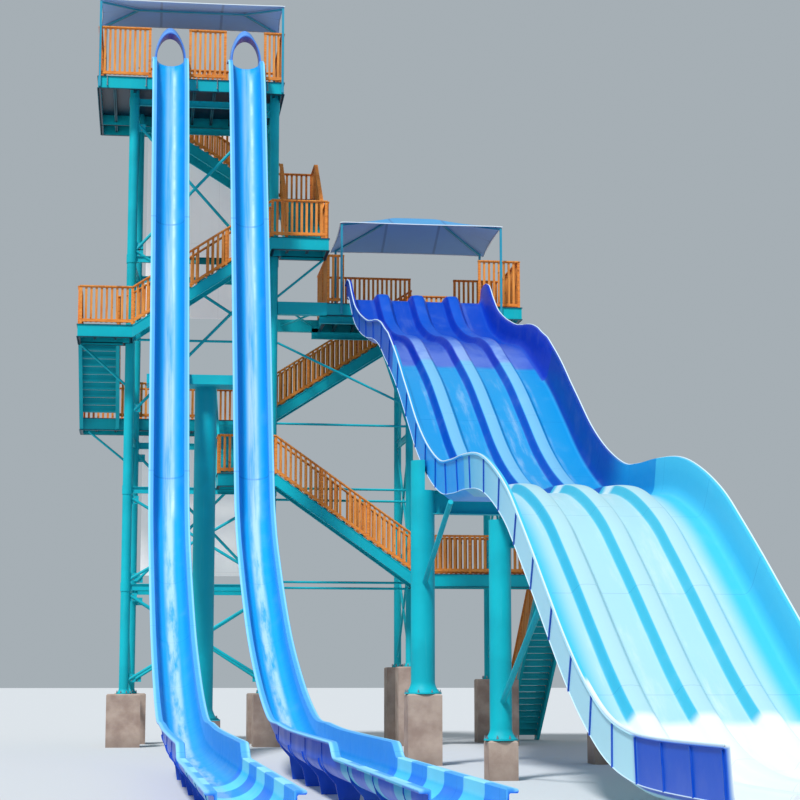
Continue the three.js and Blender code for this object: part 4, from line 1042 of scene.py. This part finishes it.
def tower_frames(paints):
    """Front and rear frames of the tower: columns, beams, braces, gussets and knee rods."""
    beams = {"front": [4.25, 6.87, 13.25, 17.7], "rear": [4.25, 8.4, 13.25, 17.7]}
    braces = {
        "front": [(1.7, 4.1), (4.1, 1.7), (4.4, 6.72), (6.72, 4.4), (8.9, 13.0), (13.55, 11.05),
                  (13.39, 17.72), (17.19, 12.86)],
        "rear": [(1.7, 4.1), (4.1, 1.7), (4.4, 8.25), (8.25, 4.4)],
    }
    under = LEVEL_WALKWAY - DECK_DEPTH
    knees = {
        "front": [((0, 0, 9.65), (LEFT_EDGE + 0.06, 0, LEVEL_LEFT - DECK_DEPTH - 0.035)),
                  ((3.9, 0, 12.19), (RIGHT_EDGE - 0.06, 0, LEVEL_RIGHT - DECK_DEPTH - 0.035))],
        "rear": [((0.15, 2.8, 7.75), (-1.15, 2.97, under - 0.035))],
    }
    for side, y in zip(TOWER_X, TOWER_Y):
        kits = steel, _, bolts = Kit(), Kit(), Kit()
        left, right = TOWER_X[side]
        for x in (left, right):
            stand_column(kits, x, y, COLUMN, LEVEL_TOP - BOARD_DEPTH, *TOWER_PLINTH)
            for level in beams[side]:
                steel.turned(x, y, [(COLUMN + 0.014, level - 0.12), (COLUMN + 0.014, level + 0.12)], 24)
        for level in beams[side]:
            channel(steel, (left, y, level), (right, y, level), *BEAM)
        lows, highs = np.array(braces[side]).T
        steel.rods([(left, y, z) for z in lows], [(right, y, z) for z in highs], BRACE)
        for low, high in braces[side]:
            tilt = (high - low) / (right - left)
            spots = [(left + 0.2, y, low + 0.2 * tilt), (right - 0.2, y, high - 0.2 * tilt)]
            gussets(steel, bolts, spots, 0.22, (0, 1, 0))
        steel.rods(*zip(*knees[side]), KNEE)
        if side == "front":
            steel.rods((left, y, 11.0), (right, y, 11.0), KNEE)
        else:
            for x in (left, right):
                channel(steel, (x, y, under - 0.09), (x, REAR_EDGE, under - 0.09), 0.18, 0.1)
        make_frame(f"tower_{side}", paints, kits, f"tower_{side}_frame")


def side_braces(steel_paint, bolt_metal):
    """Struts and one zigzag brace on each side of the tower."""
    levels = [1.8, 4.25, 8.4, 13.25, 17.7]
    near, far = TOWER_Y
    for side, ends in zip(("left", "right"), zip(*TOWER_X.values())):
        kits = steel, bolts = Kit(), Kit()

        def point(y, z):
            return float(np.interp(y, TOWER_Y, ends)), y, z

        for i, level in enumerate(levels):
            steel.bars(point(near + COLUMN, level), point(far - COLUMN, level), *BEAM[::-1])
            if i + 1 < len(levels):
                a, b = (near + 0.23, far - 0.23)[:: -1 if i % 2 == 0 else 1]
                steel.rods(point(a, level), point(b, levels[i + 1]), BRACE)
                spots = [point(a, level + 0.1), point(b, levels[i + 1] - 0.1)]
                gussets(steel, bolts, spots, 0.2, (1, 0, 0))
        make_frame(f"tower_{side}", (steel_paint, bolt_metal), kits, f"tower_{side}_braces",
                   ("ties", "tie_bolts"))


def platform_ties(steel):
    """Beams beside and below the racer platform's overhang, and rods to the tower's column."""
    near, far = PLATFORM_Y
    x = PLATFORM_X[0]
    face = TOWER_X["front"][1] + COLUMN
    edge = PLATFORM_LEFT - SEAT_GAP
    bottom = LEVEL_RACER - DECK_DEPTH
    steel.slabs([(face, -0.06, bottom), (face, far - 0.06, bottom)],
                [(edge, near, LEVEL_RACER - 0.002), (edge, far + 0.12, LEVEL_RACER - 0.002)])
    for y in (near, far):
        channel(steel, (edge - 0.2, y, bottom - 0.1), (x, y, bottom - 0.1), 0.198, 0.12)
        steel.slabs((edge - 0.2, y - 0.06, bottom - 0.1), (edge, y, bottom + 0.1))
    steel.rods([(4.3, 0.06, bottom + 0.15), (5.25, 0.06, bottom + 0.15)],
               [(5.25, far, bottom + 0.15), (4.3, far, bottom + 0.15)], 0.03)
    steel.rods((x, near, 8.7), (6.7, near, bottom - 0.06), 0.055)
    starts = [(face, 0, z) for z in (11.0, 8.75, 6.97, 6.65, 4.41, 4.25)]
    ends = [(x, near, z) for z in (9.3, 8.75, 6.97, 6.65, 4.41, 4.25)]
    steel.rods(starts, ends, 0.033)


def platform_frames(paints):
    """Columns, beams and crossed braces under both sides of the racer platform."""
    levels = [2.3, 5.2, 8.5, 11.5]
    near, far = PLATFORM_Y
    for side, x, plinth_top in zip(("left", "right"), PLATFORM_X, PLATFORM_PLINTH_TOPS):
        kits = steel, _, bolts = Kit(), Kit(), Kit()
        for y in PLATFORM_Y:
            stand_column(kits, x, y, PLATFORM_COLUMN, LEVEL_RACER - BOARD_DEPTH,
                         PLATFORM_PLINTH, plinth_top)
        for low, high in zip(levels, levels[1:]):
            foot, head = low + 0.12, high - 0.12
            steel.rods([(x, near, foot), (x, near, head)], [(x, far, head), (x, far, foot)], 0.035)
            channel(steel, (x, near, high), (x, far, high), *BEAM)
            spots = [(x, y, z) for y in (near + 0.16, far - 0.16) for z in (low + 0.2, high - 0.2)]
            gussets(steel, bolts, spots, 0.2, (1, 0, 0))
        if side == "left":
            platform_ties(steel)
        make_frame(f"platform_{side}", paints, kits, f"platform_{side}_frame")


def racer_point(across, s):
    """A point of the racer's plan, turned with the slide."""
    c, n = math.cos(RACER_TURN), math.sin(RACER_TURN)
    return RACER_CENTRE + across * c + s * n, RACER_START + across * n - s * c


def racer_bents(paints):
    """Pairs of columns with a cradle beam under the racer, and a raking strut to each side.

    A strut ends where it meets the bed's underside. What stands of a column beyond the bed's
    wall runs on up beside it. The rows give: place along the bed, half spacing, radius, height
    beside the wall, plinth width and top, and the strut's lower level, reach and upper level.
    """
    bents = {
        "upper": (12.31, 2.0, 0.255, 0.32, 0.72, 1.48, (3.7, 3.3, 5.35)),
        "lower": (18.81, 1.75, 0.2, 0.11, 0.53, 0.7, (1.3, 3.7, 3.3)),
    }
    for name, (s, half, radius, rise, wide, plinth_top, (low, reach, high)) in bents.items():
        kits = steel, *_ = Kit(), Kit(), Kit()
        line = ride_line(RACER_PROFILE, s - 0.1, s + reach + 0.1, 0.1)
        floor = float(np.interp(s, line[0], line[1]))
        head = floor - RACER_SHELL - 0.25
        out = np.linspace(0, reach, 80)
        strut = low + (high - low) * out / reach
        meets = int(np.argmax(strut + 0.05 > np.interp(s + out, line[0], line[1]) - RACER_SHELL))
        sweep = np.linspace(-1, 1, 17) * math.acos(np.clip((RACER_HALF + 0.055 - half) / radius, -1, 1))
        for sign in (-1, 1):
            px, py = racer_point(sign * half, s)
            stand_column(kits, px, py, radius, head, wide, plinth_top)
            qx, qy = racer_point(sign * half, s + out[meets])
            steel.rods((px, py, low), (qx, qy, strut[meets]), 0.055, 14)
            disc = np.stack([np.cos(sweep), np.sin(sweep)], -1) * radius * sign
            steel.prisms(disc, (px, py, head - 0.1), (px, py, floor + rise), (0, 1, 0))
        ends = [(*racer_point(sign * (half + radius * 0.5), s), head - 0.25) for sign in (-1, 1)]
        channel(steel, *ends, 0.5, 0.3)
        for across in np.linspace(-1.5, 1.5, 5):
            px, py = racer_point(across, s)
            steel.bars((px, py, head - 0.02), (px, py, floor - RACER_SHELL - 0.01), 0.16, 0.12, (0, 1, 0))
        make_frame(f"racer_{name}", paints, kits, f"racer_{name}_bent")


def support_dressing(paints):
    """Smooth column, base plate and plinth round the speed slides' support."""
    kits = Kit(), Kit(), Kit()
    x, y, radius, wide, plinth_top = SUPPORT_FOOT
    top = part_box("slide_support_column")[1].z - SADDLE
    stand_column(kits, x, y, radius + SLEEVE, top, wide + SLEEVE, plinth_top)
    make_frame("slide_support", paints, kits, words=("sleeve", "plinth", "bolts"))


def railing_paths():
    """Each railing's path on the walking line, under its height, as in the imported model."""
    front, rear = FRONT_EDGE + RAIL_EDGE, REAR_EDGE - RAIL_EDGE
    left, right = LEFT_EDGE + RAIL_EDGE, RIGHT_EDGE - RAIL_EDGE
    start, stop = front + POST_CLEAR, rear - POST_CLEAR
    inner, walkway = FRONT_INNER - RAIL_EDGE, WALKWAY_FRONT + RAIL_EDGE
    stair, top_inner = TOP_STAIR_FOOT + RAIL_EDGE, REAR_EDGE - SIDE_STAIR + RAIL_EDGE
    left_inner, behind = LEFT_EDGE + SIDE_STAIR - RAIL_EDGE, PLATFORM_BACK + SEAT_GAP + RAIL_EDGE
    near, lower_right = LOWER_RIGHT - GROUND_STAIR + RAIL_EDGE, LOWER_RIGHT - RAIL_EDGE
    lower_back, middle = LOWER_BACK - RAIL_EDGE, MIDDLE_LEFT + RAIL_EDGE
    top_y, top_left, top_right = TOP_FRONT + RAIL_EDGE, TOP_LEFT + RAIL_EDGE, TOP_RIGHT - RAIL_EDGE
    top_back, clear = TOP_BACK - RAIL_EDGE, FLUME_HALF + 0.02
    first, second = SPEED_CENTRES.values()
    racer_left, racer_right = PLATFORM_LEFT + RAIL_EDGE, PLATFORM_RIGHT - RAIL_EDGE
    racer_back = PLATFORM_BACK - RAIL_EDGE
    e, f, g = LEVEL_LEFT, LEVEL_RIGHT, LEVEL_UPPER_REAR
    t, w, m, a, r = LEVEL_TOP, LEVEL_WALKWAY, LEVEL_MIDDLE, LEVEL_LOWER, LEVEL_RACER
    low, high = FRONT_STAIR
    usual = {
        "upper_front": [(left, front, e), (low, front, e), (high, front, f), (right, front, f)],
        "upper_inner": [(low, inner, e), (high, inner, f)],
        "right_outer": [(right, start, f), (right, SIDE_BACK, f), (right, RIGHT_BACK, g), (right, stop, g)],
        "right_inner": [(stair, SIDE_BACK, f), (stair, RIGHT_BACK, g), (stair, top_inner, g),
                        (TOP_TONGUE, top_inner, t)],
        "top_rear": [(right, rear, g), (TOP_STAIR_FOOT, rear, g), (TOP_TONGUE, rear, t),
                     (top_left, rear, t)],
        "left_outer": [(left, start, e), (left, SIDE_BACK, e), (left, WALKWAY_FRONT, w), (left, stop, w)],
        "left_inner": [(left_inner, SIDE_BACK, e), (left_inner, walkway, w),
                       (MIDDLE_LEFT - RAIL_EDGE, walkway, w)],
        "rear": [(left, rear, w), (WALKWAY_END, rear, w), (TONGUE_LEFT, rear, r), (TONGUE_RIGHT, rear, r)],
        "racer_flight": [(WALKWAY_END, behind, w), (TONGUE_LEFT, behind, r)],
        "lower_front": [(middle, inner, m), (middle, front, m), (MIDDLE_RIGHT, front, m),
                        (LOWER_LEFT, front, a), (lower_right, front, a), (lower_right, LOWER_BACK, a),
                        (lower_right, GROUND_END, 0)],
        "lower_inner": [(MIDDLE_RIGHT, inner, m), (LOWER_LEFT, inner, a)],
        "lower_back": [(LOWER_LEFT + RAIL_EDGE, lower_back, a), (near, lower_back, a),
                       (near, LOWER_BACK, a), (near, GROUND_END, 0)],
    }
    racer = {
        "racer_left": [(RACER_RAIL_LEFT, RAIL_EDGE, r), (racer_left, RAIL_EDGE, r),
                       (racer_left, racer_back, r), (TONGUE_LEFT - RAIL_EDGE, racer_back, r)],
        "racer_right": [(TONGUE_RIGHT + RAIL_EDGE, racer_back, r), (racer_right, racer_back, r),
                        (racer_right, RACER_RAIL_FRONT, r), (RACER_RAIL_RIGHT, RACER_RAIL_FRONT, r)],
    }
    tall = {
        "top_left": [(first - clear, top_y, t), (top_left, top_y, t), (top_left, stop, t)],
        "top_middle": [(first + clear, top_y, t), (second - clear, top_y, t)],
        "top_right": [(second + clear, top_y, t), (top_right, top_y, t), (top_right, top_back, t),
                      (TOP_TONGUE + RAIL_EDGE, top_back, t)],
    }
    return {RAIL_HEIGHT: usual, RAIL_RACER: racer, RAIL_TALL: tall}


def pickets(finish):
    """Pickets between the posts of every railing, in even bays, and a cap board on its rail."""
    for height, paths in railing_paths().items():
        for name, path in paths.items():
            kit = Kit()
            path = np.array(path, float)
            for i, (start, end) in enumerate(zip(path, path[1:])):
                span = float(np.linalg.norm((end - start)[:2]))
                if span < 0.25:
                    continue
                low = 0.04 if i == 0 else 0
                high = span - (0.04 if i + 2 == len(path) else 0)
                bays = max(1, round(span / POST_SPACING))
                posts = np.linspace(low, high, bays + 1)
                count = max(1, int(((high - low) / bays - 0.07) / PICKET_SPACING))
                share = (np.arange(count) + 1) / (count + 1)
                at = (posts[:-1, None] + np.diff(posts)[:, None] * share).ravel()
                feet = start + (end - start) * (at / span)[:, None]
                heads = feet + (0, 0, height - 0.01)
                kit.bars(feet + (0, 0, 0.055), heads, *PICKET, (end - start) * (1, 1, 0))
                lift = np.array([0, 0, height + 0.012])
                kit.bars(start + lift, end + lift, *CAP_BOARD)
            kit.make(f"{name}_pickets", finish, "rail_timber")


def flights():
    """Each flight's corner, heading in degrees, run, rise, width and steps, as in the model."""
    front = FRONT_INNER - FRONT_EDGE
    behind = PLATFORM_BACK + SEAT_GAP
    low, high = FRONT_STAIR
    return {
        "front": ((low, FRONT_EDGE, LEVEL_LEFT), 0, high - low, LEVEL_RIGHT - LEVEL_LEFT, front, 14),
        "right": ((RIGHT_EDGE, SIDE_BACK, LEVEL_RIGHT), 90, RIGHT_BACK - SIDE_BACK,
                  LEVEL_UPPER_REAR - LEVEL_RIGHT, SIDE_STAIR, 12),
        "top": ((TOP_STAIR_FOOT, REAR_EDGE, LEVEL_UPPER_REAR), 180, TOP_STAIR_FOOT - TOP_TONGUE,
                LEVEL_TOP - LEVEL_UPPER_REAR, SIDE_STAIR, 14),
        "left": ((LEFT_EDGE, WALKWAY_FRONT, LEVEL_WALKWAY), -90, WALKWAY_FRONT - SIDE_BACK,
                 LEVEL_LEFT - LEVEL_WALKWAY, SIDE_STAIR, 11),
        "racer": ((WALKWAY_END, behind, LEVEL_WALKWAY), 0, TONGUE_LEFT - WALKWAY_END,
                  LEVEL_RACER - LEVEL_WALKWAY, REAR_EDGE - behind, 17),
        "lower": ((LOWER_LEFT, FRONT_INNER, LEVEL_LOWER), 180, LOWER_LEFT - MIDDLE_RIGHT,
                  LEVEL_MIDDLE - LEVEL_LOWER, front, 15),
        "ground": ((LOWER_RIGHT - GROUND_STAIR, GROUND_END, 0), -90, GROUND_END - LOWER_BACK, LEVEL_LOWER,
                   GROUND_STAIR, 25),
        "inner": ((MIDDLE_LEFT + INNER_STAIR, FRONT_INNER, LEVEL_MIDDLE), 90, WALKWAY_FRONT - FRONT_INNER,
                  LEVEL_WALKWAY - LEVEL_MIDDLE, INNER_STAIR, 11),
    }


def treads(steel_paint):
    """Treads of two strips with a nosing, closed risers, and flange strips along the stringers."""
    for name, (corner, heading, run, rise, wide, steps) in flights().items():
        angle = math.radians(heading)
        ahead = np.array([math.cos(angle), math.sin(angle), 0])
        aside = np.array([-math.sin(angle), math.cos(angle), 0])
        going, riser = run / steps, rise / steps
        step = np.arange(1, steps)[:, None]
        corner = np.array(corner, float)
        back = corner + ahead * (step - 0.5) * going + (0, 0, 1) * (step * riser - 0.018)
        boards, edges = Kit(), Kit()
        depth = (going + NOSING - TREAD_GAP) / 2
        for i in range(2):
            middle = back + ahead * (-0.008 + depth / 2 + i * (depth + TREAD_GAP))
            boards.bars(middle + aside * STRINGER, middle + aside * (wide - STRINGER), depth, 0.05)
        foot = back + ahead * (going * 0.98) + (0, 0, riser / 2 - 0.01)
        boards.bars(foot + aside * STRINGER, foot + aside * (wide - STRINGER), 0.006, riser - 0.04)
        boards.make(f"{name}_treads", steel_paint, "stair_steel")
        if name == "ground":
            continue
        end = corner + ahead * run + (0, 0, rise)
        for across in (0.04, wide - 0.04):
            for drop in (0.012, 0.318):
                shift = aside * across - (0, 0, drop)
                edges.bars(corner + shift + ahead * 0.02, end + shift - ahead * 0.02, 0.105, 0.016)
        edges.make(f"{name}_stringer_flanges", steel_paint, "stair_steel")


def deck_rectangles():
    """The rectangles of every deck (left, right, front, back) and its level."""
    clear = TOWER_X["front"][1] + COLUMN + SEAT_GAP
    low, high = FRONT_STAIR
    return {
        "top": ([(TOP_LEFT, TOP_RIGHT, TOP_FRONT, TOP_BACK), (TOP_LEFT, TOP_TONGUE, TOP_BACK, REAR_EDGE)],
                LEVEL_TOP),
        "left": ([(LEFT_EDGE, low, FRONT_EDGE, FRONT_INNER),
                  (LEFT_EDGE, FRONT_INNER, FRONT_INNER, SIDE_BACK)], LEVEL_LEFT),
        "right": ([(high, RIGHT_EDGE, FRONT_EDGE, FRONT_INNER),
                   (clear, RIGHT_EDGE, FRONT_INNER, SIDE_BACK)], LEVEL_RIGHT),
        "upper_rear": ([(TOP_STAIR_FOOT, RIGHT_EDGE, RIGHT_BACK, REAR_EDGE)], LEVEL_UPPER_REAR),
        "walkway": ([(LEFT_EDGE, WALKWAY_END, WALKWAY_FRONT, REAR_EDGE)], LEVEL_WALKWAY),
        "middle": ([(MIDDLE_LEFT, MIDDLE_RIGHT, FRONT_EDGE, FRONT_INNER)], LEVEL_MIDDLE),
        "lower": ([(LOWER_LEFT, LOWER_RIGHT, FRONT_EDGE, LOWER_BACK)], LEVEL_LOWER),
        "racer": ([(PLATFORM_LEFT, PLATFORM_RIGHT, 0.0, PLATFORM_BACK),
                   (TONGUE_LEFT, TONGUE_RIGHT, PLATFORM_BACK, REAR_EDGE)], LEVEL_RACER),
    }


def deck_dressing(wood, steel_paint):
    """Boards on every deck, joists below them and lips along the fascia beams."""
    for name, (rectangles, level) in deck_rectangles().items():
        boards, joists = Kit(), Kit()
        for x0, x1, y0, y1 in rectangles:
            y = np.linspace(y0, y1, max(2, round((y1 - y0) / 0.146)) + 1)
            boards.slabs([(x0 + 0.004, v + 0.003, level - 0.02) for v in y[:-1]],
                         [(x1 - 0.004, v - 0.003, level + 0.004) for v in y[1:]])
            x = np.arange(x0 + 0.45, x1 - 0.2, 0.55)
            if len(x) and y1 - y0 > 0.5:
                ends = [[(v, y, level - 0.17) for v in x] for y in (y0 + 0.07, y1 - 0.07)]
                channel(joists, *ends, 0.2, 0.08)
            for drop in (0.008, DECK_DEPTH - 0.008):
                z = level - drop
                corners = np.array([(x0, y0, z), (x1, y0, z), (x1, y1, z), (x0, y1, z)])
                joists.bars(corners, np.roll(corners, -1, axis=0), 0.05, 0.016)
        boards.make(f"{name}_deck_boards", wood, "deck_timber")
        joists.make(f"{name}_deck_joists", steel_paint, "deck_timber")


def fascia_hangers(bolt_metal):
    """Thin rods with hooked feet that hang over the top deck's fascia."""
    kit = Kit()
    y, foot = TOP_FRONT - 0.035, LEVEL_TOP - 0.24
    for x in (-0.75, 0.31, 1.7, 2.26, 3.65):
        kit.rods((x, y, LEVEL_TOP + 0.02), (x, y, foot), 0.011, 8)
        kit.rods((x, y, foot), (x, y + 0.035, foot), 0.014, 8)
        kit.turned(x, y, [(0.018, foot - 0.03), (0.03, foot - 0.015), (0.018, foot)], 10)
    kit.make("fascia_hangers", bolt_metal, "deck_timber")


def canopy(name, finish, cable):
    """One stretched sheet over a hip: taut edges that curve in, slopes that sag a little.

    Across u and along v run from -1 to 1. The edges pull in by a bow times 1 - v squared. The
    height is the smaller of the two distances to the edges, eased where they meet, over an eave
    that falls from front to back, and it sags by a share of the sine of pi times the height.
    """
    low, high = (np.array(corner[:2]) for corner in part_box(f"{name}_canopy"))
    half, middle = (high - low) / 2, (high + low) / 2
    front, back, rise = CANOPIES[name]
    u, v = np.meshgrid(np.linspace(-1, 1, 121), np.linspace(-1, 1, 61))
    bow = 0.05
    x = u * (half[0] - bow * (1 - v**2))
    y = v * (half[1] - bow * (1 - u**2))
    to_side = (1 - np.abs(u)) * half[0] / half[1]
    to_front = 1 - np.abs(v)
    gap = to_side - to_front
    height = (to_side + to_front - np.sqrt(gap**2 + 0.004)) / 2
    height = height / height.max()
    eave = (front + back) / 2 + (back - front) / 2 * y / half[1]
    z = eave + rise * height - 0.05 * rise * np.sin(np.clip(height, 0, 1) * math.pi)
    points = np.stack([middle[0] + x, middle[1] + y, z], -1)
    seam = np.minimum(np.abs(gap) * half[1], np.abs(np.abs(x) - half[0] / 3))
    seam = np.where(np.abs(v) < 0.02, 0.0, seam)
    hem = np.minimum(half[0] * (1 - np.abs(u)), half[1] * (1 - np.abs(v)))
    weave = np.stack([x, y, np.minimum(seam, hem)], -1)
    cloth = make_piece(f"{name}_shade_cloth", points, [grid_faces(*points.shape[:2])], finish,
                       180, {"weave": weave})
    thick = cloth.modifiers.new("thickness", "SOLIDIFY")
    thick.thickness = 0.006
    thick.offset = -1
    border = np.concatenate([points[0], points[1:, -1], points[-1, -2::-1], points[-2:0:-1, 0]])
    edge = Kit()
    edge.rods(border, np.roll(border, -1, axis=0), 0.014, 8)
    trim = edge.make(f"{name}_canopy_cable", cable, "canopy_steel", 60)
    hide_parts(f"{name}_canopy")


def paint_nodes(finishes, usual):
    """Gives the model's own nodes their finishes by the end of a node's name."""
    for name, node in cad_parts.items():
        fitting = [finish for end, finish in finishes.items() if name.endswith(end)]
        node.data.materials.clear()
        node.data.materials.append([*fitting, usual][0])


def studio():
    """A pale floor, a soft sun from the front left and a pale surround."""
    corners = [(-400, -400, 0), (400, -400, 0), (400, 400, 0), (-400, 400, 0)]
    mesh = bpy.data.meshes.new("studio_floor")
    mesh.from_pydata(corners, [], [(0, 1, 2, 3)])
    finish = Finish("studio_floor", roughness=0.9)
    finish.set("Base Color", (200, 203, 206))
    mesh.materials.append(finish.material)
    put("studio_floor", mesh)
    sun = bpy.data.lights.new("sun", "SUN")
    sun.energy = 3.5
    sun.angle = math.radians(9)
    put("sun", sun).rotation_euler = (math.radians(36), 0, math.radians(-34))
    world = bpy.data.worlds.new("studio")
    world.use_nodes = True
    backdrop = world.node_tree.nodes["Background"]
    backdrop.inputs["Color"].default_value = paint(226, 238, 246)
    backdrop.inputs["Strength"].default_value = 0.5
    bpy.context.scene.world = world
    bpy.context.scene.view_settings.view_transform = "Standard"


def photo_camera():
    """The camera at the place from which the photograph was taken."""
    lens = bpy.data.cameras.new("photo_camera")
    lens.lens = CAMERA_LENS
    lens.sensor_width = 36
    lens.clip_end = 900
    camera = put("photo_camera", lens)
    camera.location = CAMERA_PLACE
    camera.rotation_euler = (CAMERA_PITCH, 0, CAMERA_TURN)
    bpy.context.scene.camera = camera


photo_camera()
studio()
teal = steel_finish()
galvanised = bolt_finish()
concrete = concrete_finish()
upright_wood = timber_finish("picket_timber", (240, 158, 74), (204, 116, 46), (3, 3, 0.25))
rail_wood = timber_finish("rail_timber", (244, 152, 64), (206, 112, 42), (0.6, 0.6, 4))
deck_wood = timber_finish("deck_timber", (150, 104, 74), (92, 58, 40), (0.6, 0.6, 3))
frame_paints = (teal, concrete, galvanised)
decking = deck_finish()
paint_nodes({"railing": rail_wood, "deck": decking, "landing": decking, "walkway": decking,
             "screen": sheet_finish(), "canopy_frame": plain_gel("post_paint", (40, 150, 180))}, teal)
tower_frames(frame_paints)
side_braces(teal, galvanised)
platform_frames(frame_paints)
racer_bents(frame_paints)
support_dressing(frame_paints)
pickets(upright_wood)
treads(teal)
deck_dressing(deck_wood, steel_finish("shaded_steel", (0, 92, 108), (0, 74, 90)))
fascia_hangers(galvanised)
speed_slides({
    **{part: speed_finish(part) for part in ("chute", "catch", "runout")},
    "collar": plain_gel("royal_gel_coat", (12, 78, 200)),
    # the hood's darker inside colour is painted shade under its arch
    "hood": plain_gel("hood_gel_coat", (98, 154, 232), (40, 88, 186)),
})
racer_slide({
    **{part: racer_finish(part) for part in RACER_SPLITS},
    "rib": plain_gel("rib_gel_coat", (10, 78, 190)), "rim": plain_gel("rim_gel_coat", (206, 228, 242)),
})
shade = cloth_finish()
edge_cord = plain_gel("edge_cord", (228, 240, 248))
canopy("top", shade, edge_cord)
canopy("racer", shade, edge_cord)
